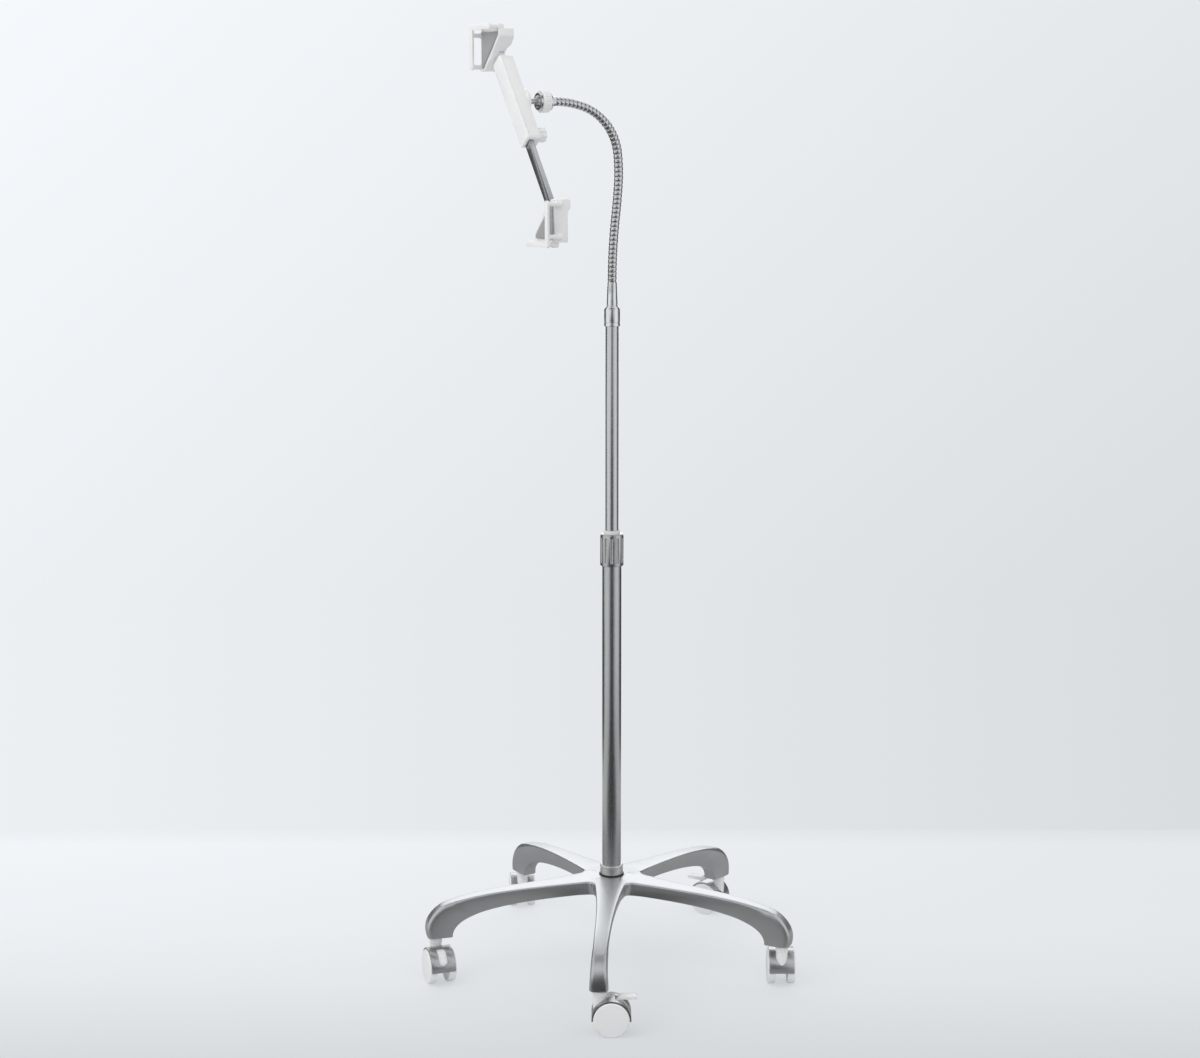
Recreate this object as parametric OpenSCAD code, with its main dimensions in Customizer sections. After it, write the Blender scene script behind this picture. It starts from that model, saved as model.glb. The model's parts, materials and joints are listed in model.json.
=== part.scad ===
// Rolling floor stand for a tablet: a five-leg caster base, a two-stage telescopic pole,
// a gooseneck and a holder that grips two opposite corners of the tablet.
// Millimetres, +Z up. The origin is on the floor under the pole, and the holder faces -Y.

/* [Base] */
// Distance of the caster stems from the pole's axis
leg_reach = 267; // [230:1:320]
// Turn of the first leg from +X
leg_turn = 39; // [0:1:71]
// Height of the hub's top face above the floor
hub_top = 137; // [128:1:160]
// Radius of the hub
hub_r = 28; // [26:1:40]
// Depth of the hub and of a leg's root
hub_depth = 21; // [18:1:26]
// Width of a leg at its root
leg_root_w = 52; // [44:1:56]
// Width of a leg along its length
leg_w = 20; // [18:1:26]
// Width of a leg's tip
leg_tip_w = 25; // [22:1:30]
// Length of the foot under a leg's tip
leg_foot = 35.5; // [32:0.5:44]
// Part of that length outside the stem's axis
foot_out = 11.5; // [10.5:0.5:16]
// Outside diameter of the sleeve that takes a caster's stem
sleeve_d = 16; // [14:0.5:18]
// Length of that sleeve
sleeve_len = 30; // [20:1:34]

/* [Casters] */
// Diameter of a wheel
wheel_d = 50; // [44:1:54]
// Width of a wheel
wheel_w = 11; // [8:0.5:14]
// Space between the two wheels of a caster
wheel_space = 18; // [16:0.5:24]
// Distance from the stem's axis to the axle
trail = 17; // [14:0.5:20]
// Wall of the hood over the wheels
hood_wall = 2; // [1.5:0.1:3]
// Height of the hood's top above its wheels
hood_room = 0.5; // [0.4:0.1:1.5]
// Diameter of the axle
axle_d = 6; // [4:0.5:8]
// Diameter of the stem
stem_d = 11; // [8:0.5:11.5]
// Height of a caster from the floor to the leg's tip
caster_h = 62; // [58:0.1:72]
// Length of a brake lever beyond the axle
lever_reach = 36; // [30:1:42]

/* [Pole] */
// Outside diameter of the lower tube
lower_d = 28; // [25:0.5:32]
// Height of the lower tube's top end
lower_top = 640; // [480:1:760]
// Outside diameter of the upper tube
upper_d = 19; // [16:0.5:20]
// Length of upper tube that stands out of the lock
upper_out = 296; // [200:1:420]
// Length of upper tube held inside the lower one
upper_in = 185; // [120:1:200]
// Wall of both tubes
tube_wall = 1.5; // [1:0.1:2]
// Diameter of the lock collar
lock_d = 34; // [33:0.5:42]
// Length of the lock collar
lock_len = 47; // [36:1:60]
// Diameter of the collar at the foot of the pole
foot_collar_d = 34; // [32:0.5:40]
// Height of that collar
foot_collar_h = 14; // [8:1:24]
// Diameter of the coupling at the top of the pole
coupling_d = 23; // [22.5:0.5:30]
// Length of that coupling
coupling_len = 24.5; // [20:0.5:34]

/* [Neck] */
// Spacing of the gooseneck's ribs
rib_pitch = 6.4; // [5.5:0.1:7.5]
// Diameter over the ribs
rib_d = 12.8; // [11:0.1:14]
// Diameter between the ribs
groove_d = 9.2; // [8:0.1:10]
// Bore through the gooseneck
neck_bore = 4.4; // [3:0.1:6]
// Length of the tapered ferrule under the gooseneck
ferrule_len = 36; // [24:1:50]
// Diameter of the ball behind the holder
ball_d = 20; // [16:0.5:22]

/* [Holder] */
// Width of the tablet that the holder is opened for
tablet_w = 215; // [190:1:220]
// Height of the tablet that the holder is opened for
tablet_h = 281; // [270:1:290]
// Depth of the grip, from the pads to the lips
grip_t = 10; // [8:0.5:14]
// Distance from the upper corner to the ball's axis, along the holder
corner_to_ball = 122; // [118:1:130]
// Length of each leg of a corner grip
corner_leg = 57; // [52:1:64]
// Diameter of the posts that carry a lip
post_d = 6.5; // [5:0.5:7]
// Width of a lip
lip_w = 8; // [7:0.5:11]
// Thickness of a lip
lip_t = 3; // [2:0.1:4]
// Width of the holder's spine
spine_w = 26; // [24:0.5:34]
// Width of the sliding arm
arm_w = 16; // [12:0.5:16]
// Thickness of the sliding arm
arm_t = 6; // [5:0.1:6.5]
// Travel of the sliding arm from open to closed
arm_travel = 110; // [80:1:112]

/* [Hidden] */
// Radial play of a turning or telescoping fit, and of a fixed one
running = 0.075;
fixed = 0.05;
// Play on each side of the sliding arm, and the gap at a seat
sliding = 0.3;
seat = 0.3;
// Small overrun of a cutting shape past the face that it opens
over = 1;
$fn = 64;

// Base: the legs' side curves run from inside the hub to the tip's foot
tip_z = caster_h + seat;
root_r = 20;
leg_rings = 16;
leg_bevel = 3;
leg_flare = 1.5;
leg_droop = 13;
top_bend = 117;
under_bend = 147;
knee_out = 33;
knee_in = 23;
under_droop = 8;
// The channel under a leg runs between these shares of its curve
leg_wall = 4;
channel_from = 0.13;
channel_to = 0.72;
channel_rings = 8;
hub_edge = 1;
leg_top = [[root_r, hub_top], [leg_reach - top_bend, hub_top - leg_droop],
           [leg_reach + knee_out, hub_top], [leg_reach + foot_out, tip_z]];
leg_under = [[root_r, hub_top - hub_depth + 0.5], [leg_reach - under_bend, hub_top - hub_depth - under_droop],
             [leg_reach - knee_in, hub_top - hub_depth - under_droop - 1],
             [leg_reach + foot_out - leg_foot, tip_z]];

// Casters: name, leg, heading of the trailing wheels, and whether it has a brake
CASTERS = [["front", 4, 61, true], ["right", 0, 151, false], ["back_right", 1, 211, true],
           ["back_left", 2, 156, false], ["left", 3, 351, false]];
wheel_r = wheel_d / 2;
frame_half = wheel_space / 2 - 0.5;
hood_in = wheel_r + hood_room;
hood_out = hood_in + hood_wall;
hood_half = wheel_space / 2 + wheel_w - 2;
hood_skirt = wheel_r - 2;
boss_r = frame_half - 0.1;
boss_top = caster_h - 7.7;
collar_r = 8;
stem_foot = wheel_r + 19;
stem_top = tip_z + sleeve_len - 2;
axle_half = wheel_space / 2 + wheel_w - 3.5;
lever_half = 6;
lever_t = 5;
lever_pin = [trail + 6, wheel_r + 18];
lever_pin_r = 2;
lever_z = wheel_r + hood_out - 2;

// Pole: heights from the hub upwards
tube_seat = hub_top - 14;
plug_len = 18;
bolt_d = 8;
bolt_head_r = 7.5;
bolt_head_h = 5;
flange_t = 1.5;
gasket_t = 1.8;
gasket_out = 1.5;
foot_collar_z = hub_top + gasket_t;
lower_in = lower_d - 2 * tube_wall;
upper_inside = upper_d - 2 * tube_wall;
lock_above = 14;
lock_top = lower_top + lock_above;
collet_rim = 5;
collet_d = upper_d + 4.5;
collet_len = 40;
collet_flange = 2;
upper_bottom = lower_top - upper_in;
coupling_z = lock_top + collet_rim + upper_out;
upper_top = coupling_z + 14;
guide_len = 15;
ferrule_z = coupling_z + coupling_len + 4;
ferrule_foot_d = 16;
ferrule_top_d = 13.5;
spigot_d = 12;

// Neck: each link is an arc that turns towards the holder by its own angle
LINK_TURNS = [-3.5, -3.5, 3, 11, 34, 32, 17];
LINKS = len(LINK_TURNS);
ribs_in_link = 7;
link_len = ribs_in_link * rib_pitch;
link_gap = 0.7;
rib_sides = 8;
bore_rings = 5;
neck_z = ferrule_z + ferrule_len;

// Ball joint: lengths along the end of the neck, and from the ball's centre towards the holder
ball_r = ball_d / 2;
socket_wall = 2;
socket_r = ball_r + socket_wall;
socket_taper = 8;
socket_centre = socket_taper + ball_r + 3.5;
socket_mouth = ball_r * 0.55;
ring_len = 12;
ring_wall = 3.5;
ring_shoulder = 3.2;
stud_r = 4;
stud_collar_r = 9;
stud_collar_t = 3.7;
roll_r = 6;
boss_back = ball_r + 14;
boss_len = 4;
boss_wide = 17;
spine_back = boss_back + boss_len;
stud_pocket = spine_back + 4;
stud_head_t = 4;
channel_floor = stud_pocket + stud_head_t + 1.4;
arm_back = channel_floor + sliding;
arm_front = arm_back + arm_t;
spine_front = arm_front + sliding;
cover_t = 4;
cover_front = spine_front + cover_t;

// Holder: the spine lies along the tablet's diagonal, measured from the ball's axis
diagonal = sqrt(pow(tablet_w, 2) + pow(tablet_h, 2));
diagonal_angle = -atan2(tablet_h, tablet_w);
lower_corner_at = diagonal - corner_to_ball;
pivot_in = 36;
pivot_r = 4;
pivot_len = 6.3;
pivot_boss_r = 12.5;
corner_gap = 2.6;
spine_half = corner_to_ball - pivot_in - pivot_boss_r - corner_gap;
spine_corner_r = 5;
upper_pivot_at = pivot_in - corner_to_ball;
lower_pivot_at = lower_corner_at - pivot_in;
end_wall = 2;
arm_inner_at = arm_travel - spine_half + end_wall + seat;
pad_t = 1.5;
pad_margin = 4;
block_end = 9;
pad_front = cover_front + 8;
block_front = pad_front - pad_t;
block_back = block_front - 19.5;
flare = 4;
flare_r = 10;
corner_swing = 13;
lip_back = pad_front + grip_t;
post_out = post_d / 2 + 0.35;
post_near = 7;
post_far = corner_leg - 7;
ear_r = post_d / 2 + 1.25;
ear_t = 8;
knob_at = spine_half - 14;
knob_r = 10;
knob_h = 13.5;
knob_screw_r = 3;

NODES = concat(
    ["star_base", "caster_sleeves", "hub_gasket", "pole_collar", "lower_tube", "tube_plug", "pole_bolt",
     "lock_collet", "lock_collar", "upper_tube", "guide_plug", "top_coupling", "neck_ferrule"],
    [for (i = [1:LINKS]) str("neck_link_", i)],
    ["ball_socket", "socket_ring", "ball_stud", "holder_spine", "holder_cover", "slide_arm", "clamp_knob",
     "upper_block", "upper_lip", "upper_pad", "lower_block", "lower_lip", "lower_pad"],
    [for (c = CASTERS) for (piece = ["frame", "hood", "pins", "wheel_a", "wheel_b"])
        str("caster_", c[0], "_", piece)],
    [for (c = CASTERS) if (c[3]) str("brake_lever_", c[0])]);
node = "all";
function wanted(name) = node == "all" || node == name;

function leg_angle(i) = leg_turn + 72 * i;

// Point of a cubic curve with four control points
function curve(p, t) =
    pow(1 - t, 3) * p[0] + 3 * pow(1 - t, 2) * t * p[1] + 3 * (1 - t) * t * t * p[2] + pow(t, 3) * p[3];

// Half width of a leg: wide at the hub, slim along its length, wider again at the tip
function leg_half(t) =
    leg_w / 2 + (leg_root_w - leg_w) / 2 * pow(1 - t, 6) + (leg_tip_w - leg_w) / 2 * pow(t, 5);

// Section of the channel that the casting leaves open under a leg
function channel_ring(t) =
    let (high = curve(leg_top, t), low = curve(leg_under, t), depth = norm(high - low),
         up = (high - low) / depth, half = leg_half(t) - leg_wall)
    [for (q = [[half + leg_flare, -over], [half - 1, depth - leg_wall],
               [1 - half, depth - leg_wall], [-half - leg_flare, -over]])
        let (p = low + up * q[1]) [p[0], q[0], p[1]]];

// Section of a leg, a bevelled trapezium between the top and the under curve
function leg_ring(t) =
    let (high = curve(leg_top, t), low = curve(leg_under, t), depth = norm(high - low),
         up = (high - low) / depth, half = leg_half(t),
         side = [[half + leg_flare - leg_bevel / 2, 0], [half + leg_flare, leg_bevel / 2],
                 [half, depth - leg_bevel], [half - leg_bevel, depth]],
         all = concat(side, [for (k = [3:-1:0]) [-side[k][0], side[k][1]]]))
    [for (q = all) let (p = low + up * q[1]) [p[0], q[0], p[1]]];

// Triangles that join rings of equal size, numbered from a first point
function skin(rings, sides, first, inward = false) =
    [for (i = [0:rings - 2]) for (j = [0:sides - 1])
        let (a = first + i * sides + j, d = first + i * sides + (j + 1) % sides, b = a + sides, c = d + sides)
        each inward ? [[a, c, b], [a, d, c]] : [[a, b, c], [a, c, d]]];

// Closed solid through a list of rings
module loft(rings) {
    sides = len(rings[0]);
    last = (len(rings) - 1) * sides;
    ends = [[for (j = [0:sides - 1]) j], [for (j = [sides - 1:-1:0]) last + j]];
    polyhedron(points = [for (r = rings) each r], faces = concat(skin(len(rings), sides, 0), ends));
}

// Box with its upright edges rounded
module slab(size, r) {
    linear_extrude(size[2]) rounded(size[0], size[1], r);
}

// Rectangle with round corners, centred
module rounded(w, h, r) {
    square([w, h - 2 * r], center = true);
    square([w - 2 * r, h], center = true);
    for (x = [-1, 1], y = [-1, 1]) translate([x * (w / 2 - r), y * (h / 2 - r)]) circle(r);
}

// Ring about the Z axis
module ring(outer, inner, h) {
    difference() {
        cylinder(r = outer, h = h);
        translate([0, 0, -over]) cylinder(r = inner, h = h + 2 * over);
    }
}

// Disc with its upper edge rounded
module round_disc(r, h, edge) {
    rotate_extrude() {
        square([r - edge, h]);
        square([r, h - edge]);
        translate([r - edge, h - edge]) intersection() {
            circle(edge);
            square(edge);
        }
    }
}

module star_base() {
    color("silver") difference() {
        union() {
            translate([0, 0, hub_top - hub_depth]) round_disc(hub_r, hub_depth, hub_edge);
            for (i = [0:4]) rotate(leg_angle(i)) loft([for (k = [0:leg_rings]) leg_ring(k / leg_rings)]);
        }
        translate([0, 0, tube_seat]) cylinder(d = lower_d + 2 * fixed, h = hub_top);
        cylinder(d = bolt_d + 0.6, h = hub_top);
        for (i = [0:4]) rotate(leg_angle(i)) translate([leg_reach, 0, tip_z - over])
            cylinder(d = sleeve_d + 2 * fixed, h = sleeve_len + over);
        for (i = [0:4]) rotate(leg_angle(i)) loft([for (k = [0:channel_rings])
            channel_ring(channel_from + (channel_to - channel_from) * k / channel_rings)]);
    }
}

// Steel sleeves in the leg tips, in which the casters' stems turn
module caster_sleeves() {
    color("dimgray") for (i = [0:4]) rotate(leg_angle(i)) translate([leg_reach, 0, tip_z])
        ring(sleeve_d / 2, stem_d / 2 + running, sleeve_len);
}

module hub_gasket() {
    color("black") translate([0, 0, hub_top])
        ring(foot_collar_d / 2 + gasket_out, lower_d / 2 + fixed, gasket_t);
}

module pole_collar() {
    color("silver") translate([0, 0, foot_collar_z]) difference() {
        round_disc(foot_collar_d / 2, foot_collar_h, min(2.5, foot_collar_d / 2 - lower_d / 2 - 0.4));
        translate([0, 0, -over]) cylinder(d = lower_d + 2 * fixed, h = foot_collar_h + 2 * over);
    }
}

module lower_tube() {
    color("gray") translate([0, 0, tube_seat]) ring(lower_d / 2, lower_in / 2, lower_top - tube_seat);
}

// Threaded plug in the foot of the lower tube
module tube_plug() {
    color("dimgray") translate([0, 0, tube_seat])
        ring(lower_in / 2 - fixed, bolt_d / 2 + fixed, plug_len);
}

// Flanged bolt that pulls the pole down on to the hub
module pole_bolt() {
    under = hub_top - hub_depth;
    color("dimgray") translate([0, 0, under - flange_t]) {
        translate([0, 0, -bolt_head_h]) cylinder(r = bolt_head_r, h = bolt_head_h, $fn = 6);
        cylinder(r = bolt_head_r + 2, h = flange_t);
        cylinder(d = bolt_d, h = flange_t + tube_seat - under + plug_len - 2);
    }
}

// Sleeve in the top of the lower tube that the lock squeezes on to the upper tube
module lock_collet() {
    color("lightgray") difference() {
        union() {
            translate([0, 0, lower_top - collet_len]) cylinder(d = lower_in - 2 * fixed, h = collet_len);
            translate([0, 0, lower_top]) cylinder(d = collet_d, h = lock_above + collet_rim);
            translate([0, 0, lower_top]) cylinder(d = lower_d - 1, h = collet_flange);
        }
        translate([0, 0, lower_top - collet_len - over])
            cylinder(d = upper_d + 2 * running, h = collet_len + lock_above + collet_rim + 2 * over);
    }
}

// Twist lock with shallow upright flutes
module lock_collar() {
    flutes = 12;
    flute_r = 2.6;
    flute_len = lock_len - 10;
    color("gray") translate([0, 0, lock_top - lock_len]) difference() {
        rotate_extrude() difference() {
            union() {
                square([lock_d / 2 - 1, lock_len]);
                translate([0, 1]) square([lock_d / 2, lock_len - 2]);
            }
            square([lower_d / 2 + running, lock_len - lock_above + collet_flange + seat]);
            square([collet_d / 2 + running, 2 * lock_len]);
        }
        for (i = [0:flutes - 1]) rotate(i * 360 / flutes)
            translate([lock_d / 2 + flute_r * 0.7, 0, (lock_len - flute_len) / 2])
                cylinder(r = flute_r, h = flute_len);
    }
}

module upper_tube() {
    color("silver") translate([0, 0, upper_bottom])
        ring(upper_d / 2, upper_inside / 2, upper_top - upper_bottom);
}

// Bush on the lower end of the upper tube that runs in the lower tube
module guide_plug() {
    color("white") {
        translate([0, 0, upper_bottom - guide_len]) cylinder(d = lower_in - 2 * running, h = guide_len);
        translate([0, 0, upper_bottom]) cylinder(d = upper_inside - 2 * fixed, h = guide_len);
    }
}

// Swivel coupling on the upper tube, bored for the tube below and for the ferrule above
module top_coupling() {
    chamfer = 4;
    color("gray") translate([0, 0, coupling_z]) rotate_extrude() difference() {
        polygon([[0, 0], [coupling_d / 2 - 0.6, 0], [coupling_d / 2, 0.6], [coupling_d / 2, coupling_len],
                 [ferrule_foot_d / 2, coupling_len + chamfer], [0, coupling_len + chamfer]]);
        square([upper_d / 2 + running, upper_top - coupling_z + seat]);
        square([spigot_d / 2 + fixed, 2 * coupling_len]);
    }
}

// Tapered ferrule with a round shoulder, which holds the foot of the gooseneck
module neck_ferrule() {
    shoulder = (ferrule_top_d - rib_d) / 2 + 2;
    inner = ferrule_top_d / 2 - shoulder;
    top = ferrule_len - link_gap / 2;
    color("gray") translate([0, 0, ferrule_z]) {
        rotate_extrude() {
            polygon([[0, 0], [ferrule_foot_d / 2, 0], [ferrule_top_d / 2, ferrule_len - shoulder],
                     [inner, ferrule_len - shoulder], [inner, top], [0, top]]);
            translate([inner, ferrule_len - shoulder]) intersection() {
                circle(shoulder - link_gap / 2);
                square(shoulder);
            }
        }
        translate([0, 0, upper_top + seat - ferrule_z])
            cylinder(d = spigot_d, h = ferrule_z - upper_top - seat);
    }
}

// Heading of the neck, from upright towards the holder, where link i starts
function heading(i) = i == 0 ? 0 : heading(i - 1) + LINK_TURNS[i - 1];

// Point reached from p along an arc of the given length that starts at a heading and turns
function along(p, start, turn, length) =
    let (half = turn / 2, chord = half == 0 ? length : length * sin(half) / (half * PI / 180))
    p + chord * [sin(start + half), cos(start + half)];

// Distance towards the holder and height of the pivot where link i starts
function pivot(i) = i == 0 ? [0, neck_z] : along(pivot(i - 1), heading(i - 1), LINK_TURNS[i - 1], link_len);

// Ring of the gooseneck at a length along link i
function neck_ring(i, length, r) =
    let (turn = LINK_TURNS[i] * length / link_len, c = along(pivot(i), heading(i), turn, length),
         lean = heading(i) + turn)
    [for (j = [0:rib_sides - 1]) let (a = 360 / rib_sides * (j + 0.5))
        [r * cos(a), -c[0] + r * sin(a) * cos(lean), c[1] + r * sin(a) * sin(lean)]];

// One stretch of the gooseneck: ribs outside, a plain bore inside
module neck_link(i) {
    first = link_gap / 2;
    last = i == LINKS - 1 ? link_len : link_len - link_gap / 2;
    crests = [for (k = [0:ribs_in_link - 1]) (k + 0.5) * rib_pitch];
    grooves = [for (k = [0:ribs_in_link]) k == 0 ? first : k == ribs_in_link ? last : k * rib_pitch];
    outside = [for (k = [0:ribs_in_link]) each k == ribs_in_link
        ? [neck_ring(i, grooves[k], groove_d / 2)]
        : [neck_ring(i, grooves[k], groove_d / 2), neck_ring(i, crests[k], rib_d / 2)]];
    inside = [for (k = [0:bore_rings - 1])
        neck_ring(i, first + (last - first) * k / (bore_rings - 1), neck_bore / 2)];
    n = rib_sides;
    inner = len(outside) * n;
    end_out = inner - n;
    end_in = inner + (bore_rings - 1) * n;
    ends = [for (j = [0:n - 1]) let (k = (j + 1) % n)
        each [[j, k, inner + k], [j, inner + k, inner + j],
              [end_out + k, end_out + j, end_in + j], [end_out + k, end_in + j, end_in + k]]];
    color("silver") polyhedron(
        points = [for (r = concat(outside, inside)) each r],
        faces = concat(skin(len(outside), n, 0), skin(bore_rings, n, inner, true), ends));
}

// Places a shape with its Z axis along the end of the neck
module at_neck_end() {
    end = pivot(LINKS);
    translate([0, -end[0], end[1]]) rotate([heading(LINKS), 0, 0]) children();
}

ball_at = along(pivot(LINKS), heading(LINKS), 0, socket_centre);

// Places a shape at the ball: X to the holder's right, Y up, Z out of its front
module at_ball() {
    translate([0, -ball_at[0], ball_at[1]]) rotate([90, 0, 0]) children();
}

// Cup on the end of the neck that holds the ball
module ball_socket() {
    color("silver") at_neck_end() difference() {
        rotate_extrude() polygon([[0, 0], [ferrule_top_d / 2 - 1, 0], [ferrule_top_d / 2, 1],
            [ferrule_foot_d / 2, socket_taper], [socket_r + 1.5, socket_taper + 1],
            [socket_r + 1.5, socket_taper + ring_shoulder], [socket_r, socket_taper + ring_shoulder],
            [socket_r, socket_centre + socket_mouth], [0, socket_centre + socket_mouth]]);
        translate([0, 0, socket_centre]) sphere(ball_r + running);
    }
}

// Ring on the socket that sets how firmly it holds the ball
module socket_ring() {
    grips = 16;
    outer = socket_r + ring_wall;
    color("white") at_neck_end() translate([0, 0, socket_taper + ring_shoulder + seat]) difference() {
        rotate_extrude() polygon([[socket_r + running, 0], [outer - 1, 0], [outer, 1], [outer, ring_len - 1],
            [outer - 1, ring_len], [socket_r + running, ring_len]]);
        for (i = [0:grips - 1]) rotate(i * 360 / grips) translate([outer + 0.5, 0, -over])
            cylinder(r = 1.2, h = ring_len + 2 * over);
    }
}

// Ball with the stud on which the holder turns from portrait to landscape
module ball_stud() {
    color("silver") at_ball() {
        sphere(ball_r);
        cylinder(r = stud_r, h = boss_back - seat);
        translate([0, 0, boss_back - seat - stud_collar_t]) cylinder(r = stud_collar_r, h = stud_collar_t);
        translate([0, 0, boss_back - seat - stud_collar_t])
            cylinder(r = roll_r, h = stud_pocket + 2 * seat + stud_collar_t - boss_back);
        translate([0, 0, stud_pocket + seat]) cylinder(r = stud_collar_r, h = stud_head_t);
    }
}

// Places a shape on the holder's diagonal, with X towards the lower corner
module on_diagonal(at = 0) {
    at_ball() rotate(diagonal_angle) translate([at, 0, 0]) children();
}

// Tongue with a pivot pin, from a start on the diagonal to its round end
module tongue(from, to) {
    translate([min(from, to), -arm_w / 2, arm_back]) cube([abs(to - from), arm_w, arm_t]);
    translate([to, 0, arm_back]) cylinder(d = arm_w, h = arm_t);
    translate([to, 0, arm_back]) cylinder(r = pivot_r, h = arm_t + pivot_len);
}

// Back shell of the holder, open in front for the arm and bored for the stud
module holder_spine() {
    channel = [spine_half + over + spine_half - end_wall, arm_w + 2 * sliding, spine_front];
    color("white") on_diagonal() {
        difference() {
            union() {
                translate([0, 0, spine_back])
                    slab([2 * spine_half, spine_w, spine_front - spine_back], spine_corner_r);
                translate([0, 0, boss_back]) cylinder(r = boss_wide, h = boss_len);
            }
            translate([end_wall - spine_half, -channel[1] / 2, channel_floor]) cube(channel);
            cylinder(r = roll_r + running, h = spine_front);
            translate([0, 0, stud_pocket]) cylinder(r = stud_collar_r + seat, h = spine_front);
            translate([knob_at, 0, 0]) cylinder(r = knob_screw_r + running, h = spine_front);
        }
        tongue(-spine_half, upper_pivot_at);
    }
}

// Front cover of the spine, with a shallow rim all round
module holder_cover() {
    step = 1;
    color("white") on_diagonal() translate([0, 0, spine_front]) {
        slab([2 * spine_half, spine_w, cover_t - step], spine_corner_r);
        slab([2 * (spine_half - step), spine_w - 2 * step, cover_t], spine_corner_r - step);
    }
}

module slide_arm() {
    color("silver") on_diagonal() tongue(arm_inner_at, lower_pivot_at);
}

// Lobed knob whose screw clamps the arm in the spine
module clamp_knob() {
    lobes = 8;
    color("white") on_diagonal(knob_at) {
        translate([0, 0, spine_back - seat - knob_h]) difference() {
            cylinder(r = knob_r, h = knob_h);
            for (i = [0:lobes - 1]) rotate((i + 0.5) * 360 / lobes) translate([knob_r + 1.6, 0, -over])
                cylinder(r = 3, h = knob_h - 2 + over);
        }
        translate([0, 0, spine_back - seat])
            cylinder(r = knob_screw_r, h = channel_floor - spine_back + seat);
    }
}

// Places a corner grip: the tablet's corner is at 0, its edges run along -X and +Y
module at_corner(lower) {
    if (lower) on_diagonal(lower_corner_at) rotate(-diagonal_angle) children();
    else on_diagonal(-corner_to_ball) rotate(180 - diagonal_angle) children();
}

// Centres of the posts along both edges of the tablet
POSTS = [[post_out, post_near], [post_out, post_far], [-post_near, -post_out], [-post_far, -post_out]];
grip_pivot = pivot_in * [-cos(diagonal_angle), -sin(diagonal_angle)];

// Outline of a corner block: two edges of the tablet, a slanted inner side and the pivot's boss
module block_outline() {
    edge_outline(0);
    translate(grip_pivot) circle(pivot_boss_r);
}

// The same outline without the boss, drawn in by a margin
module edge_outline(margin) {
    far = corner_leg - 1 - margin;
    near = 1 - margin;
    inner = block_end - margin / 2;
    polygon([[near, far], [near, -near], [-far, -near], [-far, inner], [-inner, far]]);
}

// Side outline of the flared end of a block: a hollow curve that runs out to a round back edge
module flare_outline() {
    difference() {
        translate([corner_leg - 1 - 2 * flare_r, -flare]) square([2 * flare_r, flare + over]);
        translate([corner_leg - 1 - 2 * flare_r, -flare_r]) circle(flare_r);
        translate([corner_leg - 1 - flare, -flare]) difference() {
            translate([0, -over]) square([flare + over, flare + over]);
            translate([0, flare]) circle(flare);
        }
    }
}

// Rear block of a corner grip, hollowed for the tongue and its pivot
module corner_block() {
    reach = corner_leg + pivot_boss_r;
    wide = arm_w / 2 + sliding;
    color("white") difference() {
        union() {
            translate([0, 0, block_back]) linear_extrude(block_front - block_back) block_outline();
            intersection() {
                translate([0, 0, block_back - flare])
                    linear_extrude(block_front - block_back) block_outline();
                union() {
                    translate([over, 0, block_back]) rotate([90, 0, -90]) linear_extrude(corner_leg)
                        mirror([1, 0]) flare_outline();
                    translate([0, -over, block_back]) rotate([90, 0, 180])
                        linear_extrude(corner_leg) flare_outline();
                }
            }
            for (p = POSTS) translate([p[0], p[1], block_front - ear_t]) cylinder(r = ear_r, h = ear_t);
        }
        translate([grip_pivot[0], grip_pivot[1], channel_floor]) linear_extrude(spine_front - channel_floor) {
            circle(wide);
            rotate(180 + diagonal_angle) polygon([[0, -wide], [reach, -wide - reach * tan(corner_swing)],
                [reach, wide + reach * tan(corner_swing)], [0, wide]]);
        }
        translate([grip_pivot[0], grip_pivot[1], arm_front])
            cylinder(r = pivot_r + running, h = pivot_len + seat);
    }
}

// Front lip of a corner grip with the posts that carry it
module corner_lip() {
    color("white") {
        translate([0, 0, lip_back]) linear_extrude(lip_t) {
            translate([post_out - lip_w / 2, -post_out]) square([lip_w, post_far + post_out]);
            translate([-post_far, -post_out - lip_w / 2]) square([post_far + post_out, lip_w]);
            translate([post_out, -post_out]) circle(lip_w / 2);
            translate(POSTS[1]) circle(ear_r);
            translate(POSTS[3]) circle(ear_r);
        }
        for (p = POSTS) translate([p[0], p[1], block_front]) cylinder(d = post_d, h = lip_back - block_front);
    }
}

// Rubber pad on the front of a block
module corner_pad() {
    color("dimgray") translate([0, 0, block_front]) linear_extrude(pad_t) edge_outline(pad_margin);
}

// Places a caster with its stem on Z and its wheels trailing along +X
module at_caster(c) {
    rotate(leg_angle(c[1])) translate([leg_reach, 0, 0]) rotate(c[2] - leg_angle(c[1])) children();
}

// Places a shape on the axle, with its Z axis along +Y
module on_axle() {
    translate([trail, 0, wheel_r]) rotate([-90, 0, 0]) children();
}

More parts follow.
